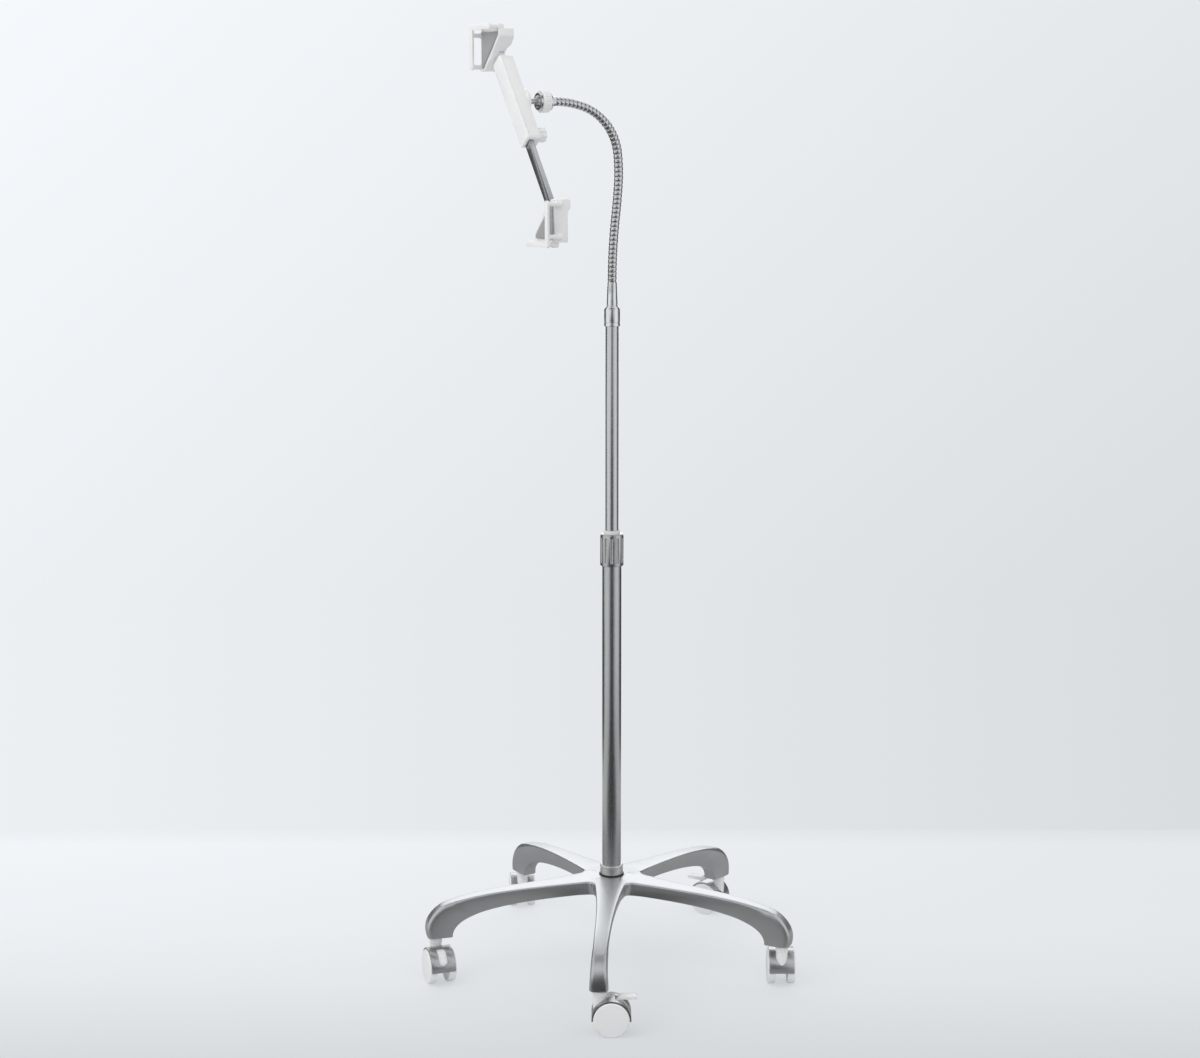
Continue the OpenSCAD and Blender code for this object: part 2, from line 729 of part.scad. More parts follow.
// Frame between the wheels, with the boss for the stem
module caster_frame(braked) {
    color("white") difference() {
        union() {
            intersection() {
                on_axle() cylinder(r = hood_in - fixed, h = 2 * frame_half, center = true);
                translate([trail, 0, wheel_r + hood_in])
                    cube([4 * wheel_r, 2 * frame_half, 2 * hood_in], center = true);
            }
            on_axle() cylinder(r = axle_d / 2 + 6, h = 2 * frame_half, center = true);
            translate([0, 0, hood_skirt]) cylinder(r = boss_r, h = boss_top - hood_skirt);
        }
        translate([0, 0, stem_foot - fixed]) cylinder(d = stem_d + 2 * fixed, h = caster_h);
        on_axle() cylinder(d = axle_d + 2 * fixed, h = wheel_d, center = true);
        if (braked) {
            translate([lever_pin[0] - 5, -lever_half - sliding, lever_pin[1] - 7])
                cube([wheel_d, 2 * (lever_half + sliding), wheel_d]);
            translate([lever_pin[0], 0, lever_pin[1]]) rotate([90, 0, 0])
                cylinder(r = lever_pin_r + running, h = 2 * frame_half + 2 * over, center = true);
        }
    }
}

// Half-drum hood, notched for the boss and cut through behind
module caster_hood() {
    window = lever_half + 2 * sliding;
    notch = boss_r + 0.2;
    color("darkgray") difference() {
        intersection() {
            on_axle() difference() {
                cylinder(r = hood_out, h = 2 * hood_half, center = true);
                cylinder(r = hood_in, h = wheel_d, center = true);
            }
            translate([trail, 0, hood_skirt + wheel_d]) cube(2 * wheel_d, center = true);
        }
        cylinder(r = notch, h = wheel_d + boss_top);
        translate([lever_pin[0] - 1, 0, 0]) rotate([90, 0, 90]) linear_extrude(wheel_d)
            polygon([[-window, wheel_d + boss_top], [-window, lever_pin[1] - 7], [0, lever_pin[1] - 11],
                     [window, lever_pin[1] - 7], [window, wheel_d + boss_top]]);
    }
}

// Stem with its collar, and the axle
module caster_pins() {
    color("silver") {
        translate([0, 0, stem_foot]) cylinder(d = stem_d, h = stem_top - stem_foot);
        translate([0, 0, boss_top]) cylinder(r = collar_r, h = caster_h - boss_top);
        on_axle() cylinder(d = axle_d, h = 2 * axle_half, center = true);
    }
}

// Wheel with a round tread and a shallow dish in its outer face
module caster_wheel(side) {
    edge = 3;
    inner_edge = 1.5;
    dish = 0.6;
    color("white") on_axle() mirror([0, 0, side < 0 ? 1 : 0]) translate([0, 0, wheel_space / 2])
        rotate_extrude() difference() {
            union() {
                square([wheel_r - edge, wheel_w]);
                translate([0, inner_edge]) square([wheel_r, wheel_w - edge - inner_edge]);
                square([wheel_r - inner_edge, wheel_w - edge]);
                translate([wheel_r - edge, wheel_w - edge]) intersection() {
                    circle(edge);
                    square(edge);
                }
                translate([wheel_r - inner_edge, 0]) intersection() {
                    translate([0, inner_edge]) circle(inner_edge);
                    square(inner_edge);
                }
            }
            square([axle_d / 2 + running, axle_half - wheel_space / 2 + seat]);
            translate([0, wheel_w - dish]) square([wheel_r - 2 * edge, over]);
        }
}

// Lever that a foot presses to hold the wheels
module brake_lever() {
    tip = trail + lever_reach;
    root = lever_pin[0];
    color("white") {
        rotate([90, 0, 0]) linear_extrude(2 * lever_half, center = true) {
            translate(lever_pin) circle(4);
            polygon([[root - 1, lever_pin[1] + 3.8], [trail + 12, lever_z + lever_t],
                     [tip - 2, lever_z + lever_t], [tip, lever_z + lever_t - 1.5], [tip, lever_z + 1.5],
                     [tip - 2, lever_z], [trail + 12, lever_z], [root + 2, lever_pin[1] - 3.4]]);
        }
        translate([root, 0, lever_pin[1]]) rotate([90, 0, 0])
            cylinder(r = lever_pin_r, h = 2 * frame_half - 0.6, center = true);
    }
}

if (wanted("star_base")) star_base();
if (wanted("caster_sleeves")) caster_sleeves();
if (wanted("hub_gasket")) hub_gasket();
if (wanted("pole_collar")) pole_collar();
if (wanted("lower_tube")) lower_tube();
if (wanted("tube_plug")) tube_plug();
if (wanted("pole_bolt")) pole_bolt();
if (wanted("lock_collet")) lock_collet();
if (wanted("lock_collar")) lock_collar();
if (wanted("upper_tube")) upper_tube();
if (wanted("guide_plug")) guide_plug();
if (wanted("top_coupling")) top_coupling();
if (wanted("neck_ferrule")) neck_ferrule();
for (i = [0:LINKS - 1]) if (wanted(str("neck_link_", i + 1))) neck_link(i);
if (wanted("ball_socket")) ball_socket();
if (wanted("socket_ring")) socket_ring();
if (wanted("ball_stud")) ball_stud();
if (wanted("holder_spine")) holder_spine();
if (wanted("holder_cover")) holder_cover();
if (wanted("slide_arm")) slide_arm();
if (wanted("clamp_knob")) clamp_knob();
if (wanted("upper_block")) at_corner(false) corner_block();
if (wanted("upper_lip")) at_corner(false) corner_lip();
if (wanted("upper_pad")) at_corner(false) corner_pad();
if (wanted("lower_block")) at_corner(true) corner_block();
if (wanted("lower_lip")) at_corner(true) corner_lip();
if (wanted("lower_pad")) at_corner(true) corner_pad();
for (c = CASTERS) {
    if (wanted(str("caster_", c[0], "_frame"))) at_caster(c) caster_frame(c[3]);
    if (wanted(str("caster_", c[0], "_hood"))) at_caster(c) caster_hood();
    if (wanted(str("caster_", c[0], "_pins"))) at_caster(c) caster_pins();
    if (wanted(str("caster_", c[0], "_wheel_a"))) at_caster(c) caster_wheel(1);
    if (wanted(str("caster_", c[0], "_wheel_b"))) at_caster(c) caster_wheel(-1);
    if (c[3] && wanted(str("brake_lever_", c[0]))) at_caster(c) brake_lever();
}
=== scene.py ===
"""Looks of a rolling tablet floor stand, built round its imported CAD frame.

Metres, +Z up. The pole stands on the origin and the holder faces -Y.
"""

import json
import math

import bmesh
import bpy
from mathutils import Matrix, Vector


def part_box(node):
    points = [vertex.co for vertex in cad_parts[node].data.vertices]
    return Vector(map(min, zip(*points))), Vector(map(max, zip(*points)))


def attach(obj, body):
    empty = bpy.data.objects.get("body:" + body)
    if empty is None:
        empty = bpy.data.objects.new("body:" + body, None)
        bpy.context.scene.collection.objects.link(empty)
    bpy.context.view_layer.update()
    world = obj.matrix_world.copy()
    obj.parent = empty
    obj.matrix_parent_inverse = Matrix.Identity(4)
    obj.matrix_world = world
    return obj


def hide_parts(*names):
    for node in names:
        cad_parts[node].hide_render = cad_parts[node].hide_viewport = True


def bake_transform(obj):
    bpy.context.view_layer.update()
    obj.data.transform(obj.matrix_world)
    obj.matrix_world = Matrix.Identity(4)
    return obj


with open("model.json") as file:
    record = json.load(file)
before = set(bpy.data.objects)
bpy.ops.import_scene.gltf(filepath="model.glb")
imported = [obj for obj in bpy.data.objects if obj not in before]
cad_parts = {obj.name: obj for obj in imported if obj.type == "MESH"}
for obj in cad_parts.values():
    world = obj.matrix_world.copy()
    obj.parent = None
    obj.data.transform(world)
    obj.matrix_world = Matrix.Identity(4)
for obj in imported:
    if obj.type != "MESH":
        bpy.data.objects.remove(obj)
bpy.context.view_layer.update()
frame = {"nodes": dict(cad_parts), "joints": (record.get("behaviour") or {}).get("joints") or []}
JOINTS = {j["name"]: j for j in frame["joints"]}
NODES = frame["nodes"]
MM = 0.001
CASTERS = ["front", "right", "back_right", "back_left", "left"]
BRAKED = ["front", "back_right"]


def joint_at(name):
    return Vector(JOINTS[name]["pos_m"])


# Camera


# Place, degrees of looking down and aside, and the flat direction from the pole to the camera
CAMERA_AT = (2.7359, -1.5375, 1.2435)
CAMERA_DOWN, CAMERA_PAN = 10.522, -0.02
CAMERA_SIDE = Vector((0.8746, -0.4848, 0)).normalized()
LENS, SENSOR = 66, 36


def add_camera():
    """The photograph's view: its lens, its place and a slight look down."""
    bpy.ops.object.camera_add(location=CAMERA_AT)
    camera = bpy.context.object
    camera.data.lens = LENS
    camera.data.sensor_width = SENSOR
    pitch = math.radians(CAMERA_DOWN)
    flat = Matrix.Rotation(math.radians(CAMERA_PAN), 3, "Z") @ -CAMERA_SIDE
    looks = Vector((flat.x * math.cos(pitch), flat.y * math.cos(pitch), -math.sin(pitch)))
    camera.rotation_euler = looks.to_track_quat("-Z", "Y").to_euler()
    bpy.context.scene.camera = camera


# Modelling steps


def leave_edit():
    """Object mode with nothing selected."""
    if bpy.context.mode != "OBJECT":
        bpy.ops.object.mode_set(mode="OBJECT")
    bpy.ops.object.select_all(action="DESELECT")


def only(obj):
    leave_edit()
    obj.select_set(True)
    bpy.context.view_layer.objects.active = obj


def edit(obj, action="SELECT"):
    only(obj)
    bpy.ops.object.mode_set(mode="EDIT")
    bpy.ops.mesh.select_mode(type="VERT")
    bpy.ops.mesh.select_all(action=action)


def named(name):
    obj = bpy.context.object
    obj.name = obj.data.name = name
    return obj


def pick(obj, kind, test):
    """In edit mode, selects just the edges or faces that pass a test."""
    bpy.ops.mesh.select_mode(type=kind)
    bpy.ops.mesh.select_all(action="DESELECT")
    mesh = bmesh.from_edit_mesh(obj.data)
    for part in mesh.edges if kind == "EDGE" else mesh.faces:
        if test(part):
            part.select_set(True)
    bmesh.update_edit_mesh(obj.data)


def move_points(obj, rule):
    """Sends each vertex where a rule says."""
    leave_edit()
    for v in obj.data.vertices:
        v.co = rule(v.co.copy())
    obj.data.update()


def finished(obj, place=None, angle=35):
    """Sets a piece in its place, with its place in its mesh, and smooths it."""
    only(obj)
    if place is not None:
        obj.data.transform(place)
    bpy.ops.object.transform_apply(location=True, rotation=True, scale=True)
    bpy.ops.object.shade_smooth_by_angle(angle=math.radians(angle))
    return obj


def draw_line(name, points):
    """Line of edges: one vertex, extruded from point to point. Stays in edit mode."""
    leave_edit()
    bpy.ops.mesh.primitive_plane_add(size=MM)
    obj = named(name)
    bpy.ops.object.mode_set(mode="EDIT")
    bpy.ops.mesh.select_mode(type="VERT")
    bpy.ops.mesh.select_all(action="SELECT")
    bpy.ops.mesh.merge(type="CENTER")
    bpy.ops.transform.translate(value=points[0])
    for here, there in zip(points, points[1:]):
        bpy.ops.mesh.extrude_region_move(TRANSFORM_OT_translate={"value": Vector(there) - Vector(here)})
    return obj


def eased(corners, steps=4):
    """Outline through corners of (x, z, radius), each radius drawn as an arc."""
    outline = []
    for i, (x, z, radius) in enumerate(corners):
        corner = Vector((x, z))
        if radius == 0:
            outline.append(corner)
            continue
        back = (Vector(corners[i - 1][:2]) - corner).normalized()
        ahead = (Vector(corners[(i + 1) % len(corners)][:2]) - corner).normalized()
        half = back.angle(ahead) / 2
        centre = corner + (back + ahead).normalized() * radius / math.sin(half)
        cut = radius / math.tan(half)
        first, last = corner + back * cut - centre, corner + ahead * cut - centre
        for k in range(steps + 1):
            outline.append(centre + first.lerp(last, k / steps).normalized() * radius)
    return outline


def face_outwards():
    """In edit mode, turns all faces outwards."""
    bpy.ops.mesh.select_all(action="SELECT")
    bpy.ops.mesh.normals_make_consistent(inside=False)


def spin_line(steps):
    """In edit mode, spins the drawn line about Z into a skin."""
    bpy.ops.mesh.select_all(action="SELECT")
    bpy.ops.mesh.spin(steps=steps, angle=math.tau, center=(0, 0, 0), axis=(0, 0, 1))
    bpy.ops.mesh.select_all(action="SELECT")
    bpy.ops.mesh.remove_doubles(threshold=MM / 1000)
    face_outwards()


def turned(name, corners, place=None, steps=64, closed=False, smooth=35):
    """Turned piece: an outline of (radius, height, edge radius) in mm, spun about Z."""
    line = [(p.x * MM, 0, p.y * MM) for p in eased(corners)]
    obj = draw_line(name, line + line[:1] if closed else line)
    spin_line(steps)
    return finished(obj, place, smooth)


def softened(node, name, edge, segments=3, sharp=30):
    """Copy of a CAD node with its triangles joined and its edges rounded."""
    leave_edit()
    obj = bpy.data.objects.new(name, NODES[node].data.copy())
    bpy.context.scene.collection.objects.link(obj)
    obj.data.name = name
    obj.data.materials.clear()
    edit(obj)
    bpy.ops.mesh.remove_doubles(threshold=MM / 200)
    bpy.ops.mesh.dissolve_limited(angle_limit=math.radians(1))
    only(obj)
    bpy.ops.object.modifier_add(type="BEVEL")
    bevel = obj.modifiers[-1]
    bevel.width = edge * MM
    bevel.segments = segments
    bevel.limit_method = "ANGLE"
    bevel.angle_limit = math.radians(sharp)
    bevel.harden_normals = True
    bpy.ops.object.modifier_apply(modifier=bevel.name)
    return finished(obj, angle=sharp)


def joined(name, pieces):
    only(pieces[0])
    for piece in pieces:
        piece.select_set(True)
    bpy.ops.object.join()
    return named(name)


def copied(obj, name, place):
    """Copy with its own mesh, set in another place."""
    twin = bpy.data.objects.new(name, obj.data.copy())
    bpy.context.scene.collection.objects.link(twin)
    twin.data.name = name
    twin.data.transform(place)
    return twin


def dress(obj, body, material, slot, *nodes):
    """Gives a piece its material and the body that carries it."""
    obj.data.materials.clear()
    obj.data.materials.append(material)
    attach(obj, body)
    if nodes:
        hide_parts(*nodes)


# Shader groups


def new_group(name, inputs, outputs):
    """Shader node group with named sockets: {name: default} in, names out."""
    group = bpy.data.node_groups.new(name, "ShaderNodeTree")
    for socket, value in inputs.items():
        kind = "NodeSocketVector" if value is None else "NodeSocketFloat"
        made = group.interface.new_socket(socket, in_out="INPUT", socket_type=kind)
        if value is not None:
            made.default_value = value
    for socket in outputs:
        group.interface.new_socket(socket, in_out="OUTPUT", socket_type="NodeSocketFloat")
    nodes = group.nodes
    return group, nodes, group.links, nodes.new("NodeGroupInput"), nodes.new("NodeGroupOutput")


def brushed_lines_group():
    """Fine lines of a brushed or turned metal, drawn out along the axis of least stretch."""
    group, nodes, links, given, out = new_group(
        "brushed_lines", {"Vector": None, "Across": 900.0, "Along": 12.0, "Upright": 900.0}, ["Lines"])
    scale = nodes.new("ShaderNodeCombineXYZ")
    stretch = nodes.new("ShaderNodeVectorMath")
    stretch.operation = "MULTIPLY"
    noise = nodes.new("ShaderNodeTexNoise")
    noise.inputs["Scale"].default_value = 1
    noise.inputs["Detail"].default_value = 4
    noise.inputs["Roughness"].default_value = 0.65
    for axis, socket in zip("XYZ", ["Across", "Along", "Upright"]):
        links.new(given.outputs[socket], scale.inputs[axis])
    links.new(given.outputs["Vector"], stretch.inputs[0])
    links.new(scale.outputs[0], stretch.inputs[1])
    links.new(stretch.outputs[0], noise.inputs["Vector"])
    links.new(noise.outputs["Fac"], out.inputs["Lines"])
    return group


def mottle_group():
    """Soft clouds, for slow changes of tone and finish, and a fine grain for bump."""
    group, nodes, links, given, out = new_group(
        "mottle_and_grain", {"Vector": None, "Clouds": 30.0, "Grains": 2500.0}, ["Cloud", "Grain"])
    for scale, socket, detail in [("Clouds", "Cloud", 3), ("Grains", "Grain", 2)]:
        noise = nodes.new("ShaderNodeTexNoise")
        noise.inputs["Detail"].default_value = detail
        links.new(given.outputs["Vector"], noise.inputs["Vector"])
        links.new(given.outputs[scale], noise.inputs["Scale"])
        links.new(noise.outputs["Fac"], out.inputs[socket])
    return group


# Pointiness from flat to a sharp edge, and from flat to a groove
EDGE_FROM, EDGE_TO = 0.52, 0.6
GROOVE_FROM, GROOVE_TO = 0.5, 0.42


def wear_and_groove_shade_group():
    """Masks of edges that are rubbed bright, broken up by noise, and of grooves that get painted shade."""
    group, nodes, links, given, out = new_group(
        "edge_wear_and_groove_shade", {"Vector": None, "Scale": 180.0, "Amount": 0.5, "Grooves": 0.0}, ["Wear", "Groove"])
    shape = nodes.new("ShaderNodeNewGeometry")
    edges = nodes.new("ShaderNodeMapRange")
    edges.inputs["From Min"].default_value = EDGE_FROM
    edges.inputs["From Max"].default_value = EDGE_TO
    noise = nodes.new("ShaderNodeTexNoise")
    broken = nodes.new("ShaderNodeMath")
    broken.operation = "MULTIPLY"
    share = nodes.new("ShaderNodeMath")
    share.operation = "MULTIPLY"
    links.new(shape.outputs["Pointiness"], edges.inputs["Value"])
    links.new(given.outputs["Vector"], noise.inputs["Vector"])
    links.new(given.outputs["Scale"], noise.inputs["Scale"])
    links.new(edges.outputs["Result"], broken.inputs[0])
    links.new(noise.outputs["Fac"], broken.inputs[1])
    links.new(broken.outputs[0], share.inputs[0])
    links.new(given.outputs["Amount"], share.inputs[1])
    links.new(share.outputs[0], out.inputs["Wear"])
    # Painted shade: where pointiness is low, in grooves, a mask darkens the colour
    hollows = nodes.new("ShaderNodeMapRange")
    hollows.inputs["From Min"].default_value = GROOVE_FROM
    hollows.inputs["From Max"].default_value = GROOVE_TO
    groove_shade = nodes.new("ShaderNodeMath")
    groove_shade.operation = "MULTIPLY"
    links.new(shape.outputs["Pointiness"], hollows.inputs["Value"])
    links.new(hollows.outputs["Result"], groove_shade.inputs[0])
    links.new(given.outputs["Grooves"], groove_shade.inputs[1])
    links.new(groove_shade.outputs[0], out.inputs["Groove"])
    return group


BRUSHED = brushed_lines_group()
MOTTLE = mottle_group()
WEAR_AND_GROOVE_SHADE = wear_and_groove_shade_group()


# Materials


# Range that the values of a noise mostly have
NOISE_LOW, NOISE_HIGH = 0.3, 0.7
# How bright rubbed metal and plastic become, the palest plastic, and how dark the painted shade in a groove
# becomes
METAL_RUBBED, PLASTIC_RUBBED, PALEST = 1.25, 1.1, 0.93
GROOVE_SHADE_LEVEL = 0.12


def start_material(name, metallic, **sockets):
    material = bpy.data.materials.new(name)
    material.use_nodes = True
    nodes = material.node_tree.nodes
    shader = nodes["Principled BSDF"]
    shader.inputs["Metallic"].default_value = metallic
    for socket, value in sockets.items():
        shader.inputs[socket].default_value = value
    return material, nodes, material.node_tree.links, shader


def place_group(nodes, links, group, **values):
    node = nodes.new("ShaderNodeGroup")
    node.node_tree = group
    for socket, value in values.items():
        node.inputs[socket].default_value = value
    where = nodes.get("Texture Coordinate") or nodes.new("ShaderNodeTexCoord")
    links.new(where.outputs["Object"], node.inputs["Vector"])
    return node


def blend_colours(nodes, links, mask, dark, light):
    mix = nodes.new("ShaderNodeMix")
    mix.data_type = "RGBA"
    mix.inputs["A"].default_value = (*dark, 1)
    mix.inputs["B"].default_value = (*light, 1)
    links.new(mask, mix.inputs["Factor"])
    return mix


def spread(nodes, links, mask, low, high):
    """Turns a noise into values from low to high."""
    out = nodes.new("ShaderNodeMapRange")
    out.inputs["From Min"].default_value = NOISE_LOW
    out.inputs["From Max"].default_value = NOISE_HIGH
    out.inputs["To Min"].default_value = low
    out.inputs["To Max"].default_value = high
    links.new(mask, out.inputs["Value"])
    return out.outputs["Result"]


def add_bump(nodes, links, shader, height, strength, depth=0.0001):
    bump = nodes.new("ShaderNodeBump")
    bump.inputs["Strength"].default_value = strength
    bump.inputs["Distance"].default_value = depth
    links.new(height, bump.inputs["Height"])
    links.new(bump.outputs["Normal"], shader.inputs["Normal"])


def metal(name, dark, light, rough, lines, wear=0.3, grain=0.06, grooves=0.0):
    """Satin metal: brushed lines in finish and bump, cloudy tone, bright edges, painted shade in grooves."""
    material, nodes, links, shader = start_material(name, 1.0)
    brushed = place_group(nodes, links, BRUSHED, Across=lines[0], Along=lines[1], Upright=lines[2])
    mottle = place_group(nodes, links, MOTTLE, Clouds=22.0)
    edges = place_group(nodes, links, WEAR_AND_GROOVE_SHADE, Amount=wear, Grooves=grooves)
    tone = blend_colours(nodes, links, mottle.outputs["Cloud"], dark, light)
    bright = nodes.new("ShaderNodeMix")
    bright.data_type = "RGBA"
    bright.inputs["B"].default_value = (*[min(1, c * METAL_RUBBED) for c in light], 1)
    links.new(edges.outputs["Wear"], bright.inputs["Factor"])
    links.new(tone.outputs["Result"], bright.inputs["A"])
    # Painted shade: the colour in grooves is mixed towards near black
    groove_shade = nodes.new("ShaderNodeMix")
    groove_shade.data_type = "RGBA"
    groove_shade.inputs["B"].default_value = (*[c * GROOVE_SHADE_LEVEL for c in dark], 1)
    links.new(edges.outputs["Groove"], groove_shade.inputs["Factor"])
    links.new(bright.outputs["Result"], groove_shade.inputs["A"])
    links.new(groove_shade.outputs["Result"], shader.inputs["Base Color"])
    links.new(spread(nodes, links, brushed.outputs["Lines"], *rough), shader.inputs["Roughness"])
    add_bump(nodes, links, shader, brushed.outputs["Lines"], grain)
    return material


def plastic(name, dark, light, rough, grain=0.08, wear=0.15, grains=2200.0):
    """Moulded plastic: fine grain, slightly uneven gloss and tone, edges rubbed a little."""
    material, nodes, links, shader = start_material(name, 0.0, IOR=1.5)
    mottle = place_group(nodes, links, MOTTLE, Clouds=35.0, Grains=grains)
    edges = place_group(nodes, links, WEAR_AND_GROOVE_SHADE, Amount=wear)
    tone = blend_colours(nodes, links, mottle.outputs["Cloud"], dark, light)
    rubbed = nodes.new("ShaderNodeMix")
    rubbed.data_type = "RGBA"
    rubbed.inputs["B"].default_value = (*[min(PALEST, c * PLASTIC_RUBBED) for c in light], 1)
    links.new(edges.outputs["Wear"], rubbed.inputs["Factor"])
    links.new(tone.outputs["Result"], rubbed.inputs["A"])
    links.new(rubbed.outputs["Result"], shader.inputs["Base Color"])
    links.new(spread(nodes, links, mottle.outputs["Cloud"], *rough), shader.inputs["Roughness"])
    add_bump(nodes, links, shader, mottle.outputs["Grain"], grain)
    return material


def grey(level):
    return level, level, level


def warm(level, trace=0.005):
    """Grey with a trace less blue."""
    return level, level, level - trace


# Lines of the finish per metre across X, Y and Z
ALONG_POLE = (1400.0, 1400.0, 10.0)
ROUND_POLE = (30.0, 30.0, 1600.0)
ALL_WAYS = (700.0, 700.0, 700.0)
CASTING = metal("satin_casting", grey(0.5), grey(0.55), (0.36, 0.42), ALL_WAYS, grain=0.02)
TUBE = metal("satin_tube", warm(0.44), warm(0.48), (0.25, 0.28), ALONG_POLE, wear=0.0, grain=0.012)
MAST = metal("bright_tube", warm(0.54), warm(0.58), (0.25, 0.28), ALONG_POLE, wear=0.0, grain=0.012)
TURNED = metal("turned_fitting", warm(0.7), warm(0.75), (0.2, 0.25), ROUND_POLE, wear=0.0, grain=0.02)
SATIN = metal("satin_fitting", warm(0.6), warm(0.65), (0.34, 0.4), ROUND_POLE, wear=0.0, grain=0.02)
# The grooves between the wound ribs get painted shade
WOUND = metal("wound_steel", warm(0.58), warm(0.64), (0.2, 0.26), ALL_WAYS, grooves=0.85)
STEEL = metal("plated_steel", grey(0.46), grey(0.54), (0.26, 0.36), ALL_WAYS)
HOOD = metal("silver_hood", grey(0.44), grey(0.5), (0.3, 0.4), ALL_WAYS)
WHITE = plastic("white_plastic", grey(0.84), warm(0.88), (0.3, 0.4))
WHEEL = plastic("wheel_nylon", grey(0.87), warm(0.9), (0.36, 0.48))
NYLON = plastic("grey_nylon", warm(0.7, 0.01), warm(0.76, 0.01), (0.4, 0.5))
RUBBER = plastic("black_rubber", grey(0.018), grey(0.03), (0.6, 0.75), grain=0.2)
PAD = plastic("pad_rubber", grey(0.3), grey(0.36), (0.65, 0.8), grain=0.3, grains=900.0)


# Cast star base


HUB_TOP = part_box("hub_gasket")[0].z / MM
HUB_DEPTH = 21
FOOT_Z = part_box("caster_sleeves")[0].z / MM
STEMS = {c: joint_at(f"caster_{c}_swivel") for c in CASTERS}
LEG_ANGLES = sorted(math.atan2(p.y, p.x) for p in STEMS.values())
SPOKES = [Matrix.Rotation(-a, 3, "Z") for a in LEG_ANGLES]
LEG_REACH = STEMS["front"].to_2d().length / MM
FOOT, FOOT_OUT = 35.5, 11.5
ROOT = 20
# Curves of a leg's top and underside from the hub to the foot, each with two handles between its ends
LEG_TOP = [(ROOT, HUB_TOP), (LEG_REACH - 117, HUB_TOP - 13), (LEG_REACH + 33, HUB_TOP),
           (LEG_REACH + FOOT_OUT, FOOT_Z)]
LEG_UNDER = [(ROOT, HUB_TOP - HUB_DEPTH), (LEG_REACH - 147, HUB_TOP - HUB_DEPTH - 8),
             (LEG_REACH - 23, HUB_TOP - HUB_DEPTH - 9), (LEG_REACH + FOOT_OUT - FOOT, FOOT_Z)]
LEG_ROOT_W, LEG_W, LEG_TIP_W = 52, 21, 26
# How fast a leg narrows from the hub, and widens to its tip
ROOT_TAPER, TIP_FLARE = 4.6, 5
# Small shoulder where the foot begins, and its stretch of the curve
FOOT_SHOULDER, SHOULDER_AT = 0.7, (0.62, 0.7)
# Stretch of the curve over which the hub's flat top turns into a leg
HUB_ENDS = (0.05, 0.12)
# How far the sides lean in towards the underside
LEG_LEAN = 2.4
LEG_CROWN = 0.8
# Knee: its place along the curve, its reach to either side and how far it stands out
KNEE_AT, KNEE_SPAN, KNEE_RISE = 0.695, 0.09, 2.6
# Step down from the leg's top to the foot's face, how round its line is, its length and where it has faded
KNEE_STEP, KNEE_ROUND = 0.7, 0.03
STEP_LONG, STEP_FADED = 0.03, 0.2
# Length of a leg laid out flat, which keeps the plan true at the hub
LEG_FLAT = 3 * (LEG_TOP[1][0] - ROOT)
LEG_ROWS = 110
LEG_COLUMNS = (-1, -0.55, 0, 0.55, 1)
# Web between two legs: the length over which it curves, and how far it stands out from a leg's side
WEB, WEB_OUT, WEB_ROWS = 10, 3.8, 8
# Step of the search for the place where two webs meet
WEB_SEARCH = 0.05
# Last row of a leg laid out flat, and the round of the corners at its tip
TIP_LONG, TIP_ROUND, TIP_SEGMENTS = 7.5, 5, 6
# Edge of the top, and how much of it is left along the leg and at the foot
RIM_EDGE, RIM_LEG, RIM_FOOT = 3.2, 0.75, 1.35
RIM_WIDENS = (0.5, 0.7)
RIM_SEGMENTS = 4
UNDER_EDGE, UNDER_SEGMENTS = 1.5, 3
# Channel under a leg: its stretch of the curve, and its shares of the leg's width and depth
CHANNEL = (0.13, 0.72)
CHANNEL_WIDE, CHANNEL_DEPTH = 0.62, 0.78
SECTOR = math.pi / len(CASTERS)
# Distance within which a point counts as being on a line
NEAR = 0.1


def cubic(p, t):
    a, b, c, d = (1 - t) ** 3, 3 * (1 - t) ** 2 * t, 3 * (1 - t) * t * t, t ** 3
    return Vector((a * p[0][0] + b * p[1][0] + c * p[2][0] + d * p[3][0],
                   a * p[0][1] + b * p[1][1] + c * p[2][1] + d * p[3][1]))


def ramp(value, start, end):
    """Smooth rise from 0 to 1 between two values."""
    share = max(0.0, min(1.0, (value - start) / (end - start)))
    return share * share * (3 - 2 * share)


def leg_half(t):
    """Half width of a leg: wide at the hub, slim along its length, wider at the foot."""
    root = (LEG_ROOT_W - LEG_W) / 2 * (1 - t) ** ROOT_TAPER
    foot = (LEG_TIP_W - LEG_W) / 2 * t ** TIP_FLARE + FOOT_SHOULDER * ramp(t, *SHOULDER_AT)
    return LEG_W / 2 + root + foot


def flat_half(x):
    """Half width of a leg laid out flat, at a distance from the hub's middle."""
    return leg_half((x - ROOT) / LEG_FLAT)


def stretched(depth, edge, new_edge, whole):
    """Depth under a surface after its edge has become wider or narrower."""
    if depth < edge:
        return depth * new_edge / edge
    return new_edge + (depth - edge) * (whole - new_edge) / (whole - edge)


def top_rise(t, across):
    """Height of a leg's top over its curve: the crown, the knee and the step beyond it."""
    crown = LEG_CROWN * (1 - across ** 2)
    knee = KNEE_RISE * math.exp(-((t - KNEE_AT) / KNEE_SPAN) ** 2)
    end = KNEE_AT - KNEE_ROUND * across ** 2
    down, up = ramp(t, end, end + STEP_LONG), ramp(t, end + STEP_LONG, end + STEP_FADED)
    step = KNEE_STEP * down * (1 - up)
    return crown + knee - step


